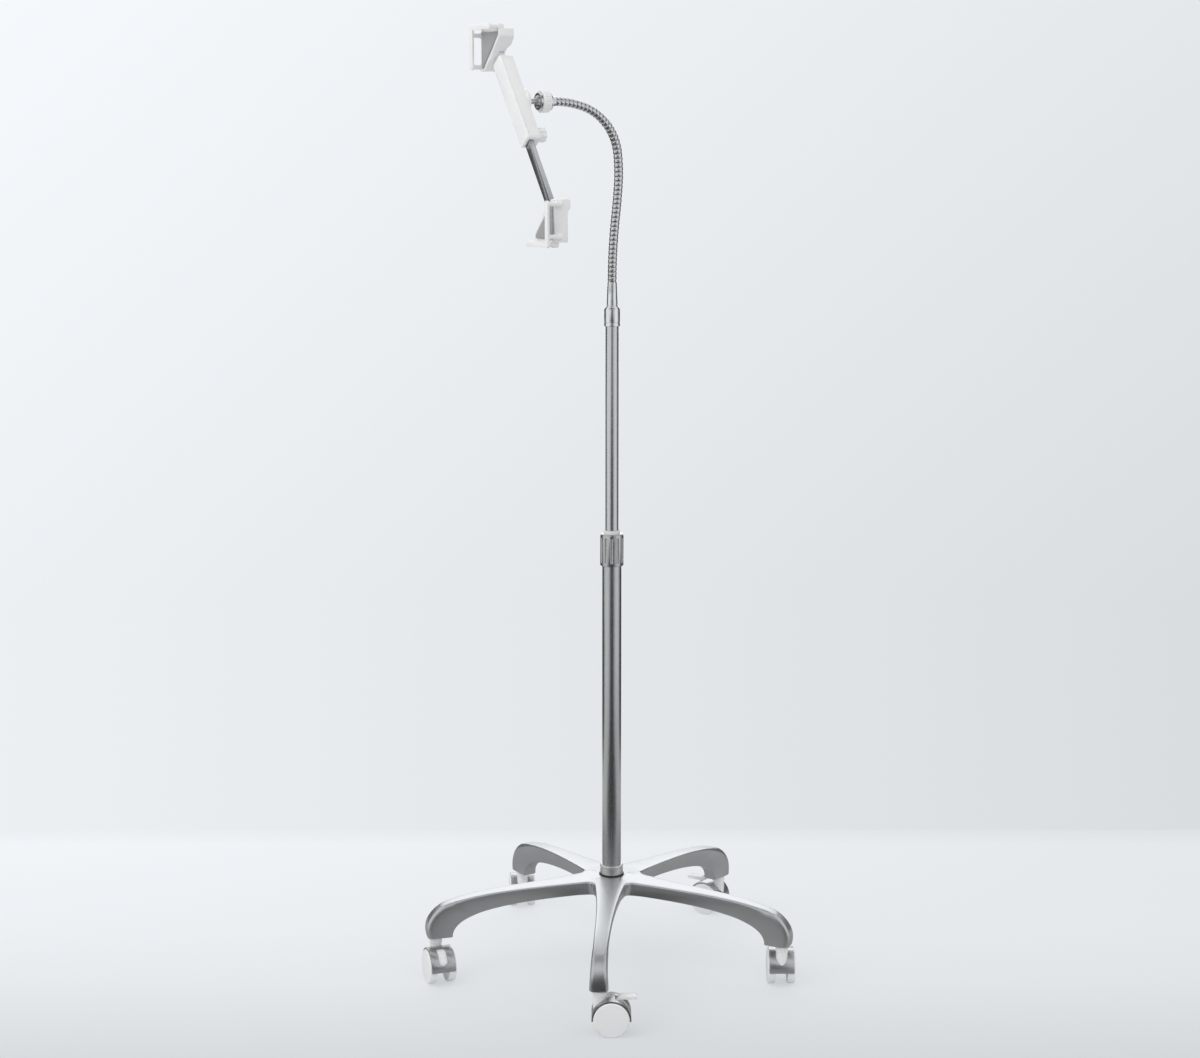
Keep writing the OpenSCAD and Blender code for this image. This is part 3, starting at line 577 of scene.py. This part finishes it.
def leg_rows():
    """Rows of a leg laid out flat, as (x, half width), from the web to the tip."""
    start = ROOT
    while flat_half(start) + WEB_OUT > start * math.tan(SECTOR):
        start += WEB_SEARCH
    rows = [(start, start * math.tan(SECTOR))]
    for k in range(1, WEB_ROWS + 1):
        x = start + WEB * k / WEB_ROWS
        rows.append((x, flat_half(x) + WEB_OUT * (1 - k / WEB_ROWS) ** 3))
    tip = ROOT + LEG_FLAT
    rest = tip - TIP_LONG - start - WEB
    for k in range(1, LEG_ROWS + 1):
        x = start + WEB + rest * k / LEG_ROWS
        rows.append((x, flat_half(x)))
    rows.append((tip, flat_half(tip)))
    return rows


def on_leg(flat):
    """Where a point of the flat star goes on the curved casting."""
    angle = min(LEG_ANGLES, key=lambda a: abs(math.remainder(math.atan2(flat.y, flat.x) - a, math.tau)))
    turn = Matrix.Rotation(angle, 3, "Z")
    x, y, z = (turn.inverted() @ flat) / MM
    t = max(0.0, min(1.0, (x - ROOT) / LEG_FLAT))
    half = leg_half(t)
    away = ramp(t, *HUB_ENDS)
    rim = RIM_EDGE * (1 + away * (RIM_LEG - 1 + (RIM_FOOT - RIM_LEG) * ramp(t, *RIM_WIDENS)))
    inset = half - abs(y)
    y = math.copysign(half - stretched(inset, RIM_EDGE, rim, half) if inset > 0 else y, y)
    deep = stretched(-z, RIM_EDGE, rim, HUB_DEPTH) / HUB_DEPTH
    across = y - math.copysign(LEG_LEAN * deep ** 2 * away, y)
    rise = top_rise(t, y / half) * away * max(0, 1 - 2 * deep)
    high, low = cubic(LEG_TOP, t), cubic(LEG_UNDER, t)
    p = high + (low - high) * deep + (high - low).normalized() * rise
    reach = p.x if x > ROOT else x
    return turn @ Vector((reach, across, p.y)) * MM


def flat_star(rows):
    """Star laid out flat: a leg drawn row by row, copied round, and the hub filled between the legs."""
    start, half = rows[0]
    leg = draw_line("leg", [(start * MM, half * c * MM, 0) for c in LEG_COLUMNS])
    bpy.ops.mesh.select_all(action="SELECT")
    for (x, wide), (next_x, next_wide) in zip(rows, rows[1:]):
        bpy.ops.mesh.extrude_region_move(TRANSFORM_OT_translate={"value": ((next_x - x) * MM, 0, 0)})
        bpy.ops.transform.resize(value=(1, next_wide / wide, 1), center_override=(0, 0, 0))
    leave_edit()
    legs = [copied(leg, f"leg_{i}", Matrix.Rotation(a, 4, "Z")) for i, a in enumerate(LEG_ANGLES)]
    bpy.data.objects.remove(leg)
    star = joined("cast_base", legs)
    edit(star)
    bpy.ops.mesh.remove_doubles(threshold=MM / 100)

    def first_row(edge):
        return any(all(abs((turn @ v.co).x / MM - start) < NEAR for v in edge.verts) for turn in SPOKES)

    pick(star, "EDGE", first_row)
    bpy.ops.mesh.edge_face_add()
    bpy.ops.mesh.inset(thickness=(start - ROOT + 1) * MM)
    return star


def round_tips(star, tip, half):
    """Rounds the upright corners at the legs' tips."""

    def corner(edge):
        ends = [turn @ v.co / MM for v in edge.verts for turn in SPOKES]
        return sum(abs(p.x - tip) < NEAR and abs(abs(p.y) - half) < NEAR for p in ends) == 2

    pick(star, "EDGE", corner)
    bpy.ops.mesh.bevel(offset=TIP_ROUND * MM, segments=TIP_SEGMENTS, affect="EDGES")


def round_rim(star, z, radius, segments):
    """Rounds the edge between the star's sides and its top or underside."""

    def on_rim(edge):
        steep = sorted(abs(f.normal.z) for f in edge.link_faces)
        level = all(abs(v.co.z / MM - z) < NEAR for v in edge.verts)
        return level and len(steep) == 2 and steep[0] < 0.2 and steep[1] > 0.8

    pick(star, "EDGE", on_rim)
    bpy.ops.mesh.bevel(offset=radius * MM, segments=segments, affect="EDGES")


def sink_channels(star):
    """Sinks a channel into the underside of each leg."""

    def in_channel(face):
        centre = face.calc_center_median()
        if face.normal.z > -0.9 or centre.z / MM > NEAR - HUB_DEPTH:
            return False
        away = min((p for p in [turn @ centre for turn in SPOKES] if p.x > 0), key=lambda p: abs(p.y))
        share = (away.x / MM - ROOT) / LEG_FLAT
        return CHANNEL[0] < share < CHANNEL[1] and abs(away.y) / MM < leg_half(share) * CHANNEL_WIDE

    pick(star, "FACE", in_channel)
    depth = HUB_DEPTH * CHANNEL_DEPTH * MM
    bpy.ops.mesh.extrude_region_move(TRANSFORM_OT_translate={"value": (0, 0, depth)})
    face_outwards()


def add_base():
    """Flat star, given its depth, soft edges and channels, then bent into the casting."""
    rows = leg_rows()
    star = flat_star(rows)
    face_outwards()
    bpy.ops.mesh.extrude_region_move(TRANSFORM_OT_translate={"value": (0, 0, -HUB_DEPTH * MM)})
    face_outwards()
    round_tips(star, *rows[-1])
    round_rim(star, 0, RIM_EDGE, RIM_SEGMENTS)
    round_rim(star, -HUB_DEPTH, UNDER_EDGE, UNDER_SEGMENTS)
    sink_channels(star)
    move_points(star, on_leg)
    dress(finished(star, angle=40), "base", CASTING, "cast_aluminium", "star_base")


# Pole


# Wall of the tubes, and the slip of what is pushed on to them
WALL = 1.5
COLLAR_SLIP, COUPLING_SLIP = 0.05, 0.08
# Ferrule: its spigot in the coupling, the slip of that, and its radius at the top and at the lip below it
SPIGOT_R, SPIGOT_SLIP = 6, 0.05
FERRULE_TOP_R, FERRULE_LIP_R = 5.6, 6.75


def upright(node):
    """Foot, top and radius, in mm, of a node turned about the pole's axis."""
    low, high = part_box(node)
    return low.z / MM, high.z / MM, high.x / MM


def add_tube(node, body, material):
    foot, top, r = upright(node)
    inner = r - WALL
    skin = turned(f"{node}_skin", [
        (inner, foot, 0), (r, foot, 0.3), (r, top, 0.3), (inner, top, 0)], steps=96, closed=True)
    dress(skin, body, material, "satin_metal", node)


def add_pole():
    """Gasket and grooved collar round the pole's foot, the two tubes, and the twist lock between them."""
    inner = upright("lower_tube")[2] + COLLAR_SLIP
    foot, top, r = upright("hub_gasket")
    gasket = turned("gasket_ring", [
        (inner, foot, 0), (r, foot, 0.4), (r, top, 0.7), (inner, top, 0)], closed=True)
    dress(gasket, "base", RUBBER, "black_rubber", "hub_gasket")
    foot, top, r = upright("pole_collar")
    collar = turned("foot_collar", [
        (inner, foot, 0), (r - 0.5, foot, 0.2), (r, foot + 0.5, 0.2), (r, top - 4.4, 0.2),
        (r - 0.8, top - 4, 0.2), (r - 0.8, top - 3.2, 0.2), (r, top - 2.8, 0.2),
        (r, top - 1.6, 0.5), (r - 1.6, top, 0.4), (inner, top, 0)], closed=True)
    dress(collar, "base", SATIN, "satin_metal", "pole_collar")
    add_tube("lower_tube", "base", TUBE)
    add_tube("upper_tube", "mast", MAST)
    collet = softened("lock_collet", "collet", 0.6)
    dress(collet, "base", NYLON, "nylon", "lock_collet")
    lock = softened("lock_collar", "twist_lock", 0.7)
    dress(lock, "lock", TUBE, "satin_metal", "lock_collar")


def add_coupling():
    """Swivel coupling with a groove and a broad chamfer, and the tapered ferrule on it."""
    foot, top, r = upright("top_coupling")
    _, tube_top, tube_r = upright("upper_tube")
    bore, seat = tube_r + COUPLING_SLIP, tube_top + 0.3
    spigot_bore = SPIGOT_R + SPIGOT_SLIP
    ferrule_foot, peak, ferrule_r = upright("neck_ferrule")
    body = turned("swivel_coupling", [
        (bore, foot, 0), (r - 0.6, foot, 0.2), (r, foot + 0.6, 0.2),
        (r, foot + 5, 0.2), (r - 0.5, foot + 5.3, 0.1), (r - 0.5, foot + 6, 0.1), (r, foot + 6.3, 0.2),
        (r, top - 4, 0.6), (ferrule_r, top, 0.3), (spigot_bore, top, 0), (spigot_bore, seat, 0),
        (bore, seat, 0)], steps=96, closed=True)
    dress(body, "coupling", TURNED, "satin_metal", "top_coupling")
    r = ferrule_r
    ferrule = turned("tapered_ferrule", [
        (0, ferrule_foot, 0), (SPIGOT_R, ferrule_foot, 0.3), (SPIGOT_R, top, 0), (r, top, 0.2),
        (r, top + 1.2, 0.2), (r - 0.35, top + 1.5, 0.1), (r - 0.4, top + 2.1, 0.1), (r - 0.1, top + 2.4, 0.2),
        (FERRULE_LIP_R, peak - 2.4, 0.8), (FERRULE_TOP_R, peak, 0.9), (0, peak, 0)], steps=64)
    dress(ferrule, "coupling", TURNED, "satin_metal", "neck_ferrule")


# Gooseneck


NECK_PIVOTS = [joint_at(f"neck_bend_{i}") for i in range(1, 8)]
NECK_END = Vector((0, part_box("ball_socket")[1].y, joint_at("ball_tilt").z))
RIB_PITCH = 6.4 * MM
RIB_R, GROOVE_R = 6.4 * MM, 5.2 * MM
RIBS_IN_LINK = 7
LINK = RIBS_IN_LINK * RIB_PITCH
RINGS_IN_RIB, NECK_STEPS = 18, 40
# How square a rib's round is
RIB_SQUARE = 3.5


def neck_arcs():
    """Start, heading and turn of each link, as arcs through the neck's pivots."""
    arcs, heading = [], 0.0
    for start, end in zip(NECK_PIVOTS, NECK_PIVOTS[1:] + [NECK_END]):
        chord = end - start
        turn = 2 * (math.atan2(-chord.y, chord.z) - heading)
        arcs.append((start, heading, turn))
        heading += turn
    return arcs


ARCS = neck_arcs()


def neck_at(length):
    """Place and heading at a length along the neck."""
    i = min(len(ARCS) - 1, max(0, int(length / LINK)))
    start, heading, turn = ARCS[i]
    along = length - i * LINK
    half = turn * along / LINK / 2
    chord = along * (math.sin(half) / half if abs(half) > 1e-6 else 1)
    lean = heading + half
    return start + chord * Vector((0, -math.sin(lean), math.cos(lean))), heading + 2 * half


def wound(p):
    """Sends a point of a straight tube on to the wound, bent neck."""
    angle = math.atan2(p.y, p.x)
    share = (p.z / RIB_PITCH - angle / math.tau) % 1
    r = GROOVE_R + (RIB_R - GROOVE_R) * math.sqrt(max(0, 1 - abs(2 * share - 1) ** RIB_SQUARE))
    at, lean = neck_at(p.z)
    rise = Vector((0, math.cos(lean), math.sin(lean)))
    return at + r * (math.cos(angle) * Vector((1, 0, 0)) + math.sin(angle) * rise)


def neck_stretch(name, start, end):
    """Stretch of the gooseneck: a fine tube, then wound into ribs and bent."""
    rings = round((end - start) / RIB_PITCH * RINGS_IN_RIB)
    obj = draw_line(name, [(RIB_R, 0, start + (end - start) * k / rings) for k in range(rings + 1)])
    spin_line(NECK_STEPS)
    move_points(obj, wound)
    return finished(obj, angle=60)


def add_gooseneck():
    """Each stretch bends over one joint, from the middle of a link to that of the next."""
    links = len(ARCS)
    for i in range(links):
        start = max(0, (i - 0.5) * LINK)
        end = (i + 0.5) * LINK
        stretch = neck_stretch(f"gooseneck_{i}", start, end)
        stretch.data.materials.append(WOUND)
        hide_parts(f"neck_link_{i + 1}")
        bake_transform(stretch)
    last = neck_stretch(f"gooseneck_{links}", (links - 0.5) * LINK, links * LINK)
    dress(last, f"neck_{links}", WOUND, "gooseneck_steel")


# Ball joint and holder


def add_ball_joint():
    socket = softened("ball_socket", "socket_cup", 0.4)
    dress(socket, "neck_7", TURNED, "satin_metal", "ball_socket")
    ring = softened("socket_ring", "grip_ring", 0.4)
    dress(ring, "ring", WHITE, "white_plastic", "socket_ring")
    ball = softened("ball_stud", "ball_and_stud", 0.2)
    dress(ball, "ball", STEEL, "steel", "ball_stud")


def add_holder():
    spine = softened("holder_spine", "spine_shell", 1.4, 4)
    dress(spine, "holder", WHITE, "white_plastic", "holder_spine")
    cover = softened("holder_cover", "spine_cover", 0.5)
    dress(cover, "holder", WHITE, "white_plastic", "holder_cover")
    arm = softened("slide_arm", "sliding_arm", 0.6)
    dress(arm, "arm", STEEL, "satin_metal", "slide_arm")
    knob = softened("clamp_knob", "lobed_knob", 0.8, 4)
    dress(knob, "knob", WHITE, "white_plastic", "clamp_knob")


def add_grips():
    for corner in ["upper", "lower"]:
        body = f"{corner}_corner"
        block = softened(f"{corner}_block", f"{corner}_grip_block", 1.0, 4)
        dress(block, body, WHITE, "white_plastic", f"{corner}_block")
        lip = softened(f"{corner}_lip", f"{corner}_grip_lip", 0.9, 4)
        dress(lip, body, WHITE, "white_plastic", f"{corner}_lip")
        pad = softened(f"{corner}_pad", f"{corner}_grip_pad", 0.4)
        dress(pad, body, PAD, "pad_rubber", f"{corner}_pad")


# Casters


AXLE = joint_at("caster_front_wheel_a_roll")
TRAIL = (AXLE - STEMS["front"]).to_2d().length / MM
WHEEL_R = AXLE.z / MM
WHEEL_W = 11
WHEEL_IN = 9
STEM_R, COLLAR_R, AXLE_R = 5.5, 9.2, 3
# Slip of a wheel on the axle, the wheel's face beyond the axle, and the air between the two
AXLE_SLIP, WHEEL_FACE, AXLE_AIR = 0.1, 3.2, 0.3
BOSS_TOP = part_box("caster_front_frame")[1].z / MM
STEM_FOOT, STEM_TOP = WHEEL_R + 19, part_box("caster_front_pins")[1].z / MM


def caster_place(name):
    """Frame of a caster: on the floor under its stem, X towards its axle."""
    stem, axle = STEMS[name], joint_at(f"caster_{name}_wheel_a_roll")
    ahead = Vector((axle.x - stem.x, axle.y - stem.y, 0)).normalized()
    side = Vector((-ahead.y, ahead.x, 0))
    place = Matrix((ahead, side, (0, 0, 1))).transposed().to_4x4()
    place.translation = (stem.x, stem.y, 0)
    return place


def on_axle(side):
    """Turns a piece's axis on to the axle, towards either wheel."""
    return Matrix.Translation((TRAIL * MM, 0, WHEEL_R * MM)) @ Matrix.Rotation(-side * math.pi / 2, 4, "X")


def wheel_blank():
    """Wheel with a plain flat face and a narrow round edge."""
    r, w = WHEEL_R, WHEEL_W
    bore, bore_end = AXLE_R + AXLE_SLIP, w - WHEEL_FACE
    place = Matrix.Translation((0, 0, WHEEL_IN * MM))
    return turned("wheel_blank", [
        (0, bore_end, 0), (bore, bore_end, 0), (bore, 0, 0.3), (r, 0, 1.5), (r, w, 1.8), (0, w, 0)],
        place, steps=96, smooth=30)


def pins_blank():
    """Stem and axle of a caster."""
    stem = turned("stem_blank", [
        (0, STEM_FOOT, 0), (STEM_R, STEM_FOOT, 0.5), (STEM_R, STEM_TOP, 0.9), (0, STEM_TOP, 0)], steps=40)
    reach = WHEEL_IN + WHEEL_W - WHEEL_FACE - AXLE_AIR
    axle = turned("axle_blank", [
        (0, -reach, 0), (AXLE_R, -reach, 0.5), (AXLE_R, reach, 0.5), (0, reach, 0)], on_axle(1), steps=32)
    return joined("pins_blank", [stem, axle])


def collar_blank():
    """Ring between a caster and its leg, with a groove round it."""
    top = FOOT_Z - 0.3
    return turned("collar_blank", [
        (STEM_R, BOSS_TOP, 0), (COLLAR_R, BOSS_TOP, 0.5), (COLLAR_R, BOSS_TOP + 2.6, 0.2),
        (COLLAR_R - 0.5, BOSS_TOP + 3, 0.2), (COLLAR_R - 0.5, BOSS_TOP + 3.8, 0.2),
        (COLLAR_R, BOSS_TOP + 4.2, 0.2), (COLLAR_R, top, 0.6), (STEM_R, top, 0)], steps=48, closed=True)


def add_casters():
    wheel, pins, collar = wheel_blank(), pins_blank(), collar_blank()
    for name in CASTERS:
        body = f"caster_{name}"
        place = caster_place(name)
        for letter, side in [("a", 1), ("b", -1)]:
            disc = copied(wheel, f"{body}_disc_{letter}", place @ on_axle(side))
            dress(disc, f"{body}_wheel_{letter}", WHEEL, "wheel_nylon", f"{body}_wheel_{letter}")
        dress(copied(pins, f"{body}_stem", place), body, STEEL, "steel", f"{body}_pins")
        dress(copied(collar, f"{body}_collar", place), body, WHITE, "white_plastic")
        inner = softened(f"{body}_frame", f"{body}_yoke", 0.6)
        dress(inner, body, WHITE, "white_plastic", f"{body}_frame")
        hood = softened(f"{body}_hood", f"{body}_cowl", 0.6)
        dress(hood, body, HOOD, "grey_plastic", f"{body}_hood")
        if name in BRAKED:
            lever = softened(f"brake_lever_{name}", f"brake_pedal_{name}", 0.8)
            dress(lever, f"brake_{name}", WHITE, "white_plastic", f"brake_lever_{name}")
    for blank in [wheel, pins, collar]:
        bpy.data.objects.remove(blank)


# Inner pieces that keep their CAD form


INNER = {"caster_sleeves": STEEL, "tube_plug": NYLON, "pole_bolt": STEEL, "guide_plug": NYLON}


def dress_inner_nodes():
    for node, material in INNER.items():
        mesh = NODES[node].data
        for i in range(len(mesh.materials)):
            mesh.materials[i] = material


# Studio


RIGHT = Vector((-CAMERA_SIDE.y, CAMERA_SIDE.x, 0))
FLOOR_BACK, FLOOR_FRONT, FLOOR_SIDE = -0.62, 0.38, 0.95
FLOOR_SIZE = 12
# Share of the floor's own tone that the camera sees, which keeps the shadows on it faint
FLOOR_GLOW = 0.6
# Tone of the floor on the left, with painted shade that darkens it towards the camera, at shares of the way
# from its back edge to the picture's foot
FLOOR_SHADED_TONES = [(0.0, 0.88), (0.08, 0.933), (0.5, 0.88), (0.7, 0.83), (1.0, 0.7)]
# On the right it is darker by painted shade, by a share that shrinks from the back to the foot
FLOOR_RIGHT_SHADE = 0.1
# Cool tint of floor, backdrop and cards, and the plain light from all round
TINT = Vector((0.965, 1.0, 1.035))
AMBIENT = 0.82
# Backdrop: its level, how it brightens to the upper left, and the height below which it stays even
BACKDROP, BACKDROP_SLOPE, BACKDROP_FOOT = 0.86, RIGHT * -0.28 + Vector((0, 0, 0.31)), -0.21
KEY_AT = CAMERA_SIDE - RIGHT * 1.6 + Vector((0, 0, 2.4))
KEY_AIM = Vector((0, 0, 0.7))
KEY_SIZE, KEY_WATTS = 2.0, 16
UP, DOWN = -90, 90
# Cards that metal reflects: name, angle from the camera, distance, height, size, light and lean
CARDS = [
    ("front_flag", 0, 2.2, 0.25, (1.9, 0.8), 0.08, 0),
    ("neck_flag", 0, 2.3, 1.0, (1.0, 0.9), 0.08, 0),
    ("neck_low_flag", -26, 0.34, 1.0, (0.9, 0.55), 0.08, UP),
    ("front_strip", 0, 1.24, 0.003, (1.2, 1.82), 0.07, UP),
    ("floor_flag", 0, -0.08, 0.004, (1.05, 0.82), 0.42, UP),
    ("pole_strip", 0, 0.2, 0.005, (0.09, 0.3), 0.05, UP),
    ("top_flag", 0, 0.55, 1.9, (1.6, 0.8), 0.14, DOWN),
    ("back_panel", 180, 2.4, 1.7, (3.6, 2.0), 2.0, 0),
]
# Cards that stand upright on either side
SIDE_CARDS = [
    ("panel", 62, 1.8, 0.8, (1.5, 1.6), 1.0),
    ("flag", 130, 2.0, 0.35, (1.9, 1.1), 0.07),
    ("low_flag", 130, 1.0, 0.17, (1.2, 0.34), 0.07),
    ("high_flag", 128, 0.6, 1.17, (0.7, 0.6), 0.07),
]


def glow(name, radiance):
    """Plain light of one level, for a card that metal reflects. Its back is clear."""
    material = bpy.data.materials.new(name)
    material.use_nodes = True
    nodes, links = material.node_tree.nodes, material.node_tree.links
    nodes.clear()
    light = nodes.new("ShaderNodeEmission")
    light.inputs["Color"].default_value = (*[radiance * t for t in TINT], 1)
    clear = nodes.new("ShaderNodeBsdfTransparent")
    shape = nodes.new("ShaderNodeNewGeometry")
    mix = nodes.new("ShaderNodeMixShader")
    out = nodes.new("ShaderNodeOutputMaterial")
    links.new(shape.outputs["Backfacing"], mix.inputs["Fac"])
    links.new(light.outputs[0], mix.inputs[1])
    links.new(clear.outputs[0], mix.inputs[2])
    links.new(mix.outputs[0], out.inputs["Surface"])
    return material


def add_card(name, angle, away, rise, size, radiance, lean=0):
    """Card that faces the stand, or up or down by its lean, seen in reflections only."""
    leave_edit()
    bpy.ops.mesh.primitive_plane_add(size=1)
    card = named(name)
    direction = Matrix.Rotation(math.radians(angle), 3, "Z") @ CAMERA_SIDE
    turn = (-direction).to_track_quat("Z", "Y").to_matrix().to_4x4()
    place = Matrix.Translation(direction * away + Vector((0, 0, rise)))
    tilt = Matrix.Rotation(math.radians(lean), 4, "X")
    card.matrix_world = place @ turn @ tilt @ Matrix.Diagonal((*size, 1, 1))
    card.data.materials.append(glow(name, radiance))
    card.visible_camera = False
    card.visible_diffuse = False
    card.visible_shadow = False
    card.visible_transmission = False


def distance_along(nodes, links, where, direction, start, end):
    """Share of the way along a direction, from one distance to another."""
    along = nodes.new("ShaderNodeVectorMath")
    along.operation = "DOT_PRODUCT"
    along.inputs[1].default_value = direction
    share = nodes.new("ShaderNodeMapRange")
    share.inputs["From Min"].default_value = start
    share.inputs["From Max"].default_value = end
    links.new(where.outputs["Object"], along.inputs[0])
    links.new(along.outputs["Value"], share.inputs["Value"])
    return share.outputs["Result"]


def tone_ramp(nodes, links, share, tones):
    """Tinted greys at shares from 0 to 1."""
    made = nodes.new("ShaderNodeValToRGB")
    stops = made.color_ramp.elements
    for k, (at, tone) in enumerate(tones):
        stop = stops[0] if k == 0 else stops[-1] if at == 1 else stops.new(at)
        stop.color = (*[tone * t for t in TINT], 1)
    links.new(share, made.inputs["Fac"])
    return made.outputs["Color"]


def add_floor():
    """Pale floor that ends under the backdrop, with painted shade that darkens it towards the camera and to
    the right.
    """
    leave_edit()
    bpy.ops.mesh.primitive_plane_add(size=1)
    floor = named("floor")
    side = CAMERA_SIDE
    turn = Matrix((RIGHT, -side, (0, 0, 1))).transposed().to_4x4()
    place = Matrix.Translation(side * (FLOOR_BACK + FLOOR_SIZE / 2))
    floor.matrix_world = place @ turn @ Matrix.Diagonal((FLOOR_SIZE, FLOOR_SIZE, 1, 1))
    bpy.ops.object.transform_apply(location=True, rotation=True, scale=True)
    material, nodes, links, shader = start_material("floor", 0.0, Roughness=0.9)
    shader.inputs["Specular IOR Level"].default_value = 0.1
    where = nodes.new("ShaderNodeTexCoord")
    reach = distance_along(nodes, links, where, side, FLOOR_BACK, FLOOR_FRONT)
    aside = distance_along(nodes, links, where, RIGHT, -FLOOR_SIDE, FLOOR_SIDE)
    tone = nodes.new("ShaderNodeMix")
    tone.data_type = "RGBA"
    links.new(aside, tone.inputs["Factor"])
    # Painted shade: the floor's colour darkens towards the camera and to the right
    shaded_right = [(at, level * (1 - FLOOR_RIGHT_SHADE * (1 - at))) for at, level in FLOOR_SHADED_TONES]
    for socket, stops in [("A", FLOOR_SHADED_TONES), ("B", shaded_right)]:
        links.new(tone_ramp(nodes, links, reach, stops), tone.inputs[socket])
    links.new(tone.outputs["Result"], shader.inputs["Base Color"])
    shine = nodes.new("ShaderNodeEmission")
    links.new(tone.outputs["Result"], shine.inputs["Color"])
    rays = nodes.new("ShaderNodeLightPath")
    seen = nodes.new("ShaderNodeMath")
    seen.operation = "MULTIPLY"
    seen.inputs[1].default_value = FLOOR_GLOW
    links.new(rays.outputs["Is Camera Ray"], seen.inputs[0])
    mix = nodes.new("ShaderNodeMixShader")
    links.new(seen.outputs[0], mix.inputs["Fac"])
    links.new(shader.outputs[0], mix.inputs[1])
    links.new(shine.outputs[0], mix.inputs[2])
    links.new(mix.outputs[0], nodes["Material Output"].inputs["Surface"])
    floor.data.materials.append(material)


def add_world():
    """Pale backdrop for the camera and reflections, and a plain level of light."""
    world = bpy.data.worlds.new("studio")
    bpy.context.scene.world = world
    world.use_nodes = True
    nodes, links = world.node_tree.nodes, world.node_tree.links
    backdrop = nodes["Background"]
    where = nodes.new("ShaderNodeTexCoord")
    slope = nodes.new("ShaderNodeVectorMath")
    slope.operation = "DOT_PRODUCT"
    slope.inputs[1].default_value = BACKDROP_SLOPE
    even = nodes.new("ShaderNodeVectorMath")
    even.operation = "MAXIMUM"
    even.inputs[1].default_value = (-1, -1, BACKDROP_FOOT)
    level = nodes.new("ShaderNodeMath")
    level.operation = "ADD"
    level.inputs[1].default_value = BACKDROP
    level.use_clamp = True
    tint = nodes.new("ShaderNodeVectorMath")
    tint.operation = "SCALE"
    tint.inputs[0].default_value = TINT
    links.new(where.outputs["Generated"], even.inputs[0])
    links.new(even.outputs[0], slope.inputs[0])
    links.new(slope.outputs["Value"], level.inputs[0])
    links.new(level.outputs[0], tint.inputs["Scale"])
    links.new(tint.outputs[0], backdrop.inputs["Color"])
    ambient = nodes.new("ShaderNodeBackground")
    ambient.inputs["Color"].default_value = (*[AMBIENT] * 3, 1)
    rays = nodes.new("ShaderNodeLightPath")
    seen = nodes.new("ShaderNodeMath")
    seen.operation = "MAXIMUM"
    clear = nodes.new("ShaderNodeMath")
    clear.operation = "MAXIMUM"
    mix = nodes.new("ShaderNodeMixShader")
    links.new(rays.outputs["Is Camera Ray"], seen.inputs[0])
    links.new(rays.outputs["Is Glossy Ray"], seen.inputs[1])
    links.new(seen.outputs[0], clear.inputs[0])
    links.new(rays.outputs["Is Transmission Ray"], clear.inputs[1])
    links.new(clear.outputs[0], mix.inputs["Fac"])
    links.new(ambient.outputs[0], mix.inputs[1])
    links.new(backdrop.outputs[0], mix.inputs[2])
    links.new(mix.outputs[0], nodes["World Output"].inputs["Surface"])


def add_key_lamp():
    """Broad soft lamp over the camera's left shoulder."""
    bpy.ops.object.light_add(type="AREA", location=KEY_AT)
    lamp = bpy.context.object
    lamp.name = "key"
    lamp.data.shape = "DISK"
    lamp.data.size = KEY_SIZE
    lamp.data.energy = KEY_WATTS
    lamp.rotation_euler = (KEY_AIM - KEY_AT).to_track_quat("-Z", "Y").to_euler()
    lamp.visible_camera = False
    lamp.visible_glossy = False


def add_studio():
    add_floor()
    add_world()
    add_key_lamp()
    for card in CARDS:
        add_card(*card)
    for side, turn in [("left", -1), ("right", 1)]:
        for name, angle, *rest in SIDE_CARDS:
            add_card(f"{side}_{name}", angle * turn, *rest)


# The stand


add_base()
add_pole()
add_coupling()
add_gooseneck()
add_ball_joint()
add_holder()
add_grips()
add_casters()
dress_inner_nodes()
add_studio()
add_camera()
bpy.context.scene.view_settings.view_transform = "Standard"
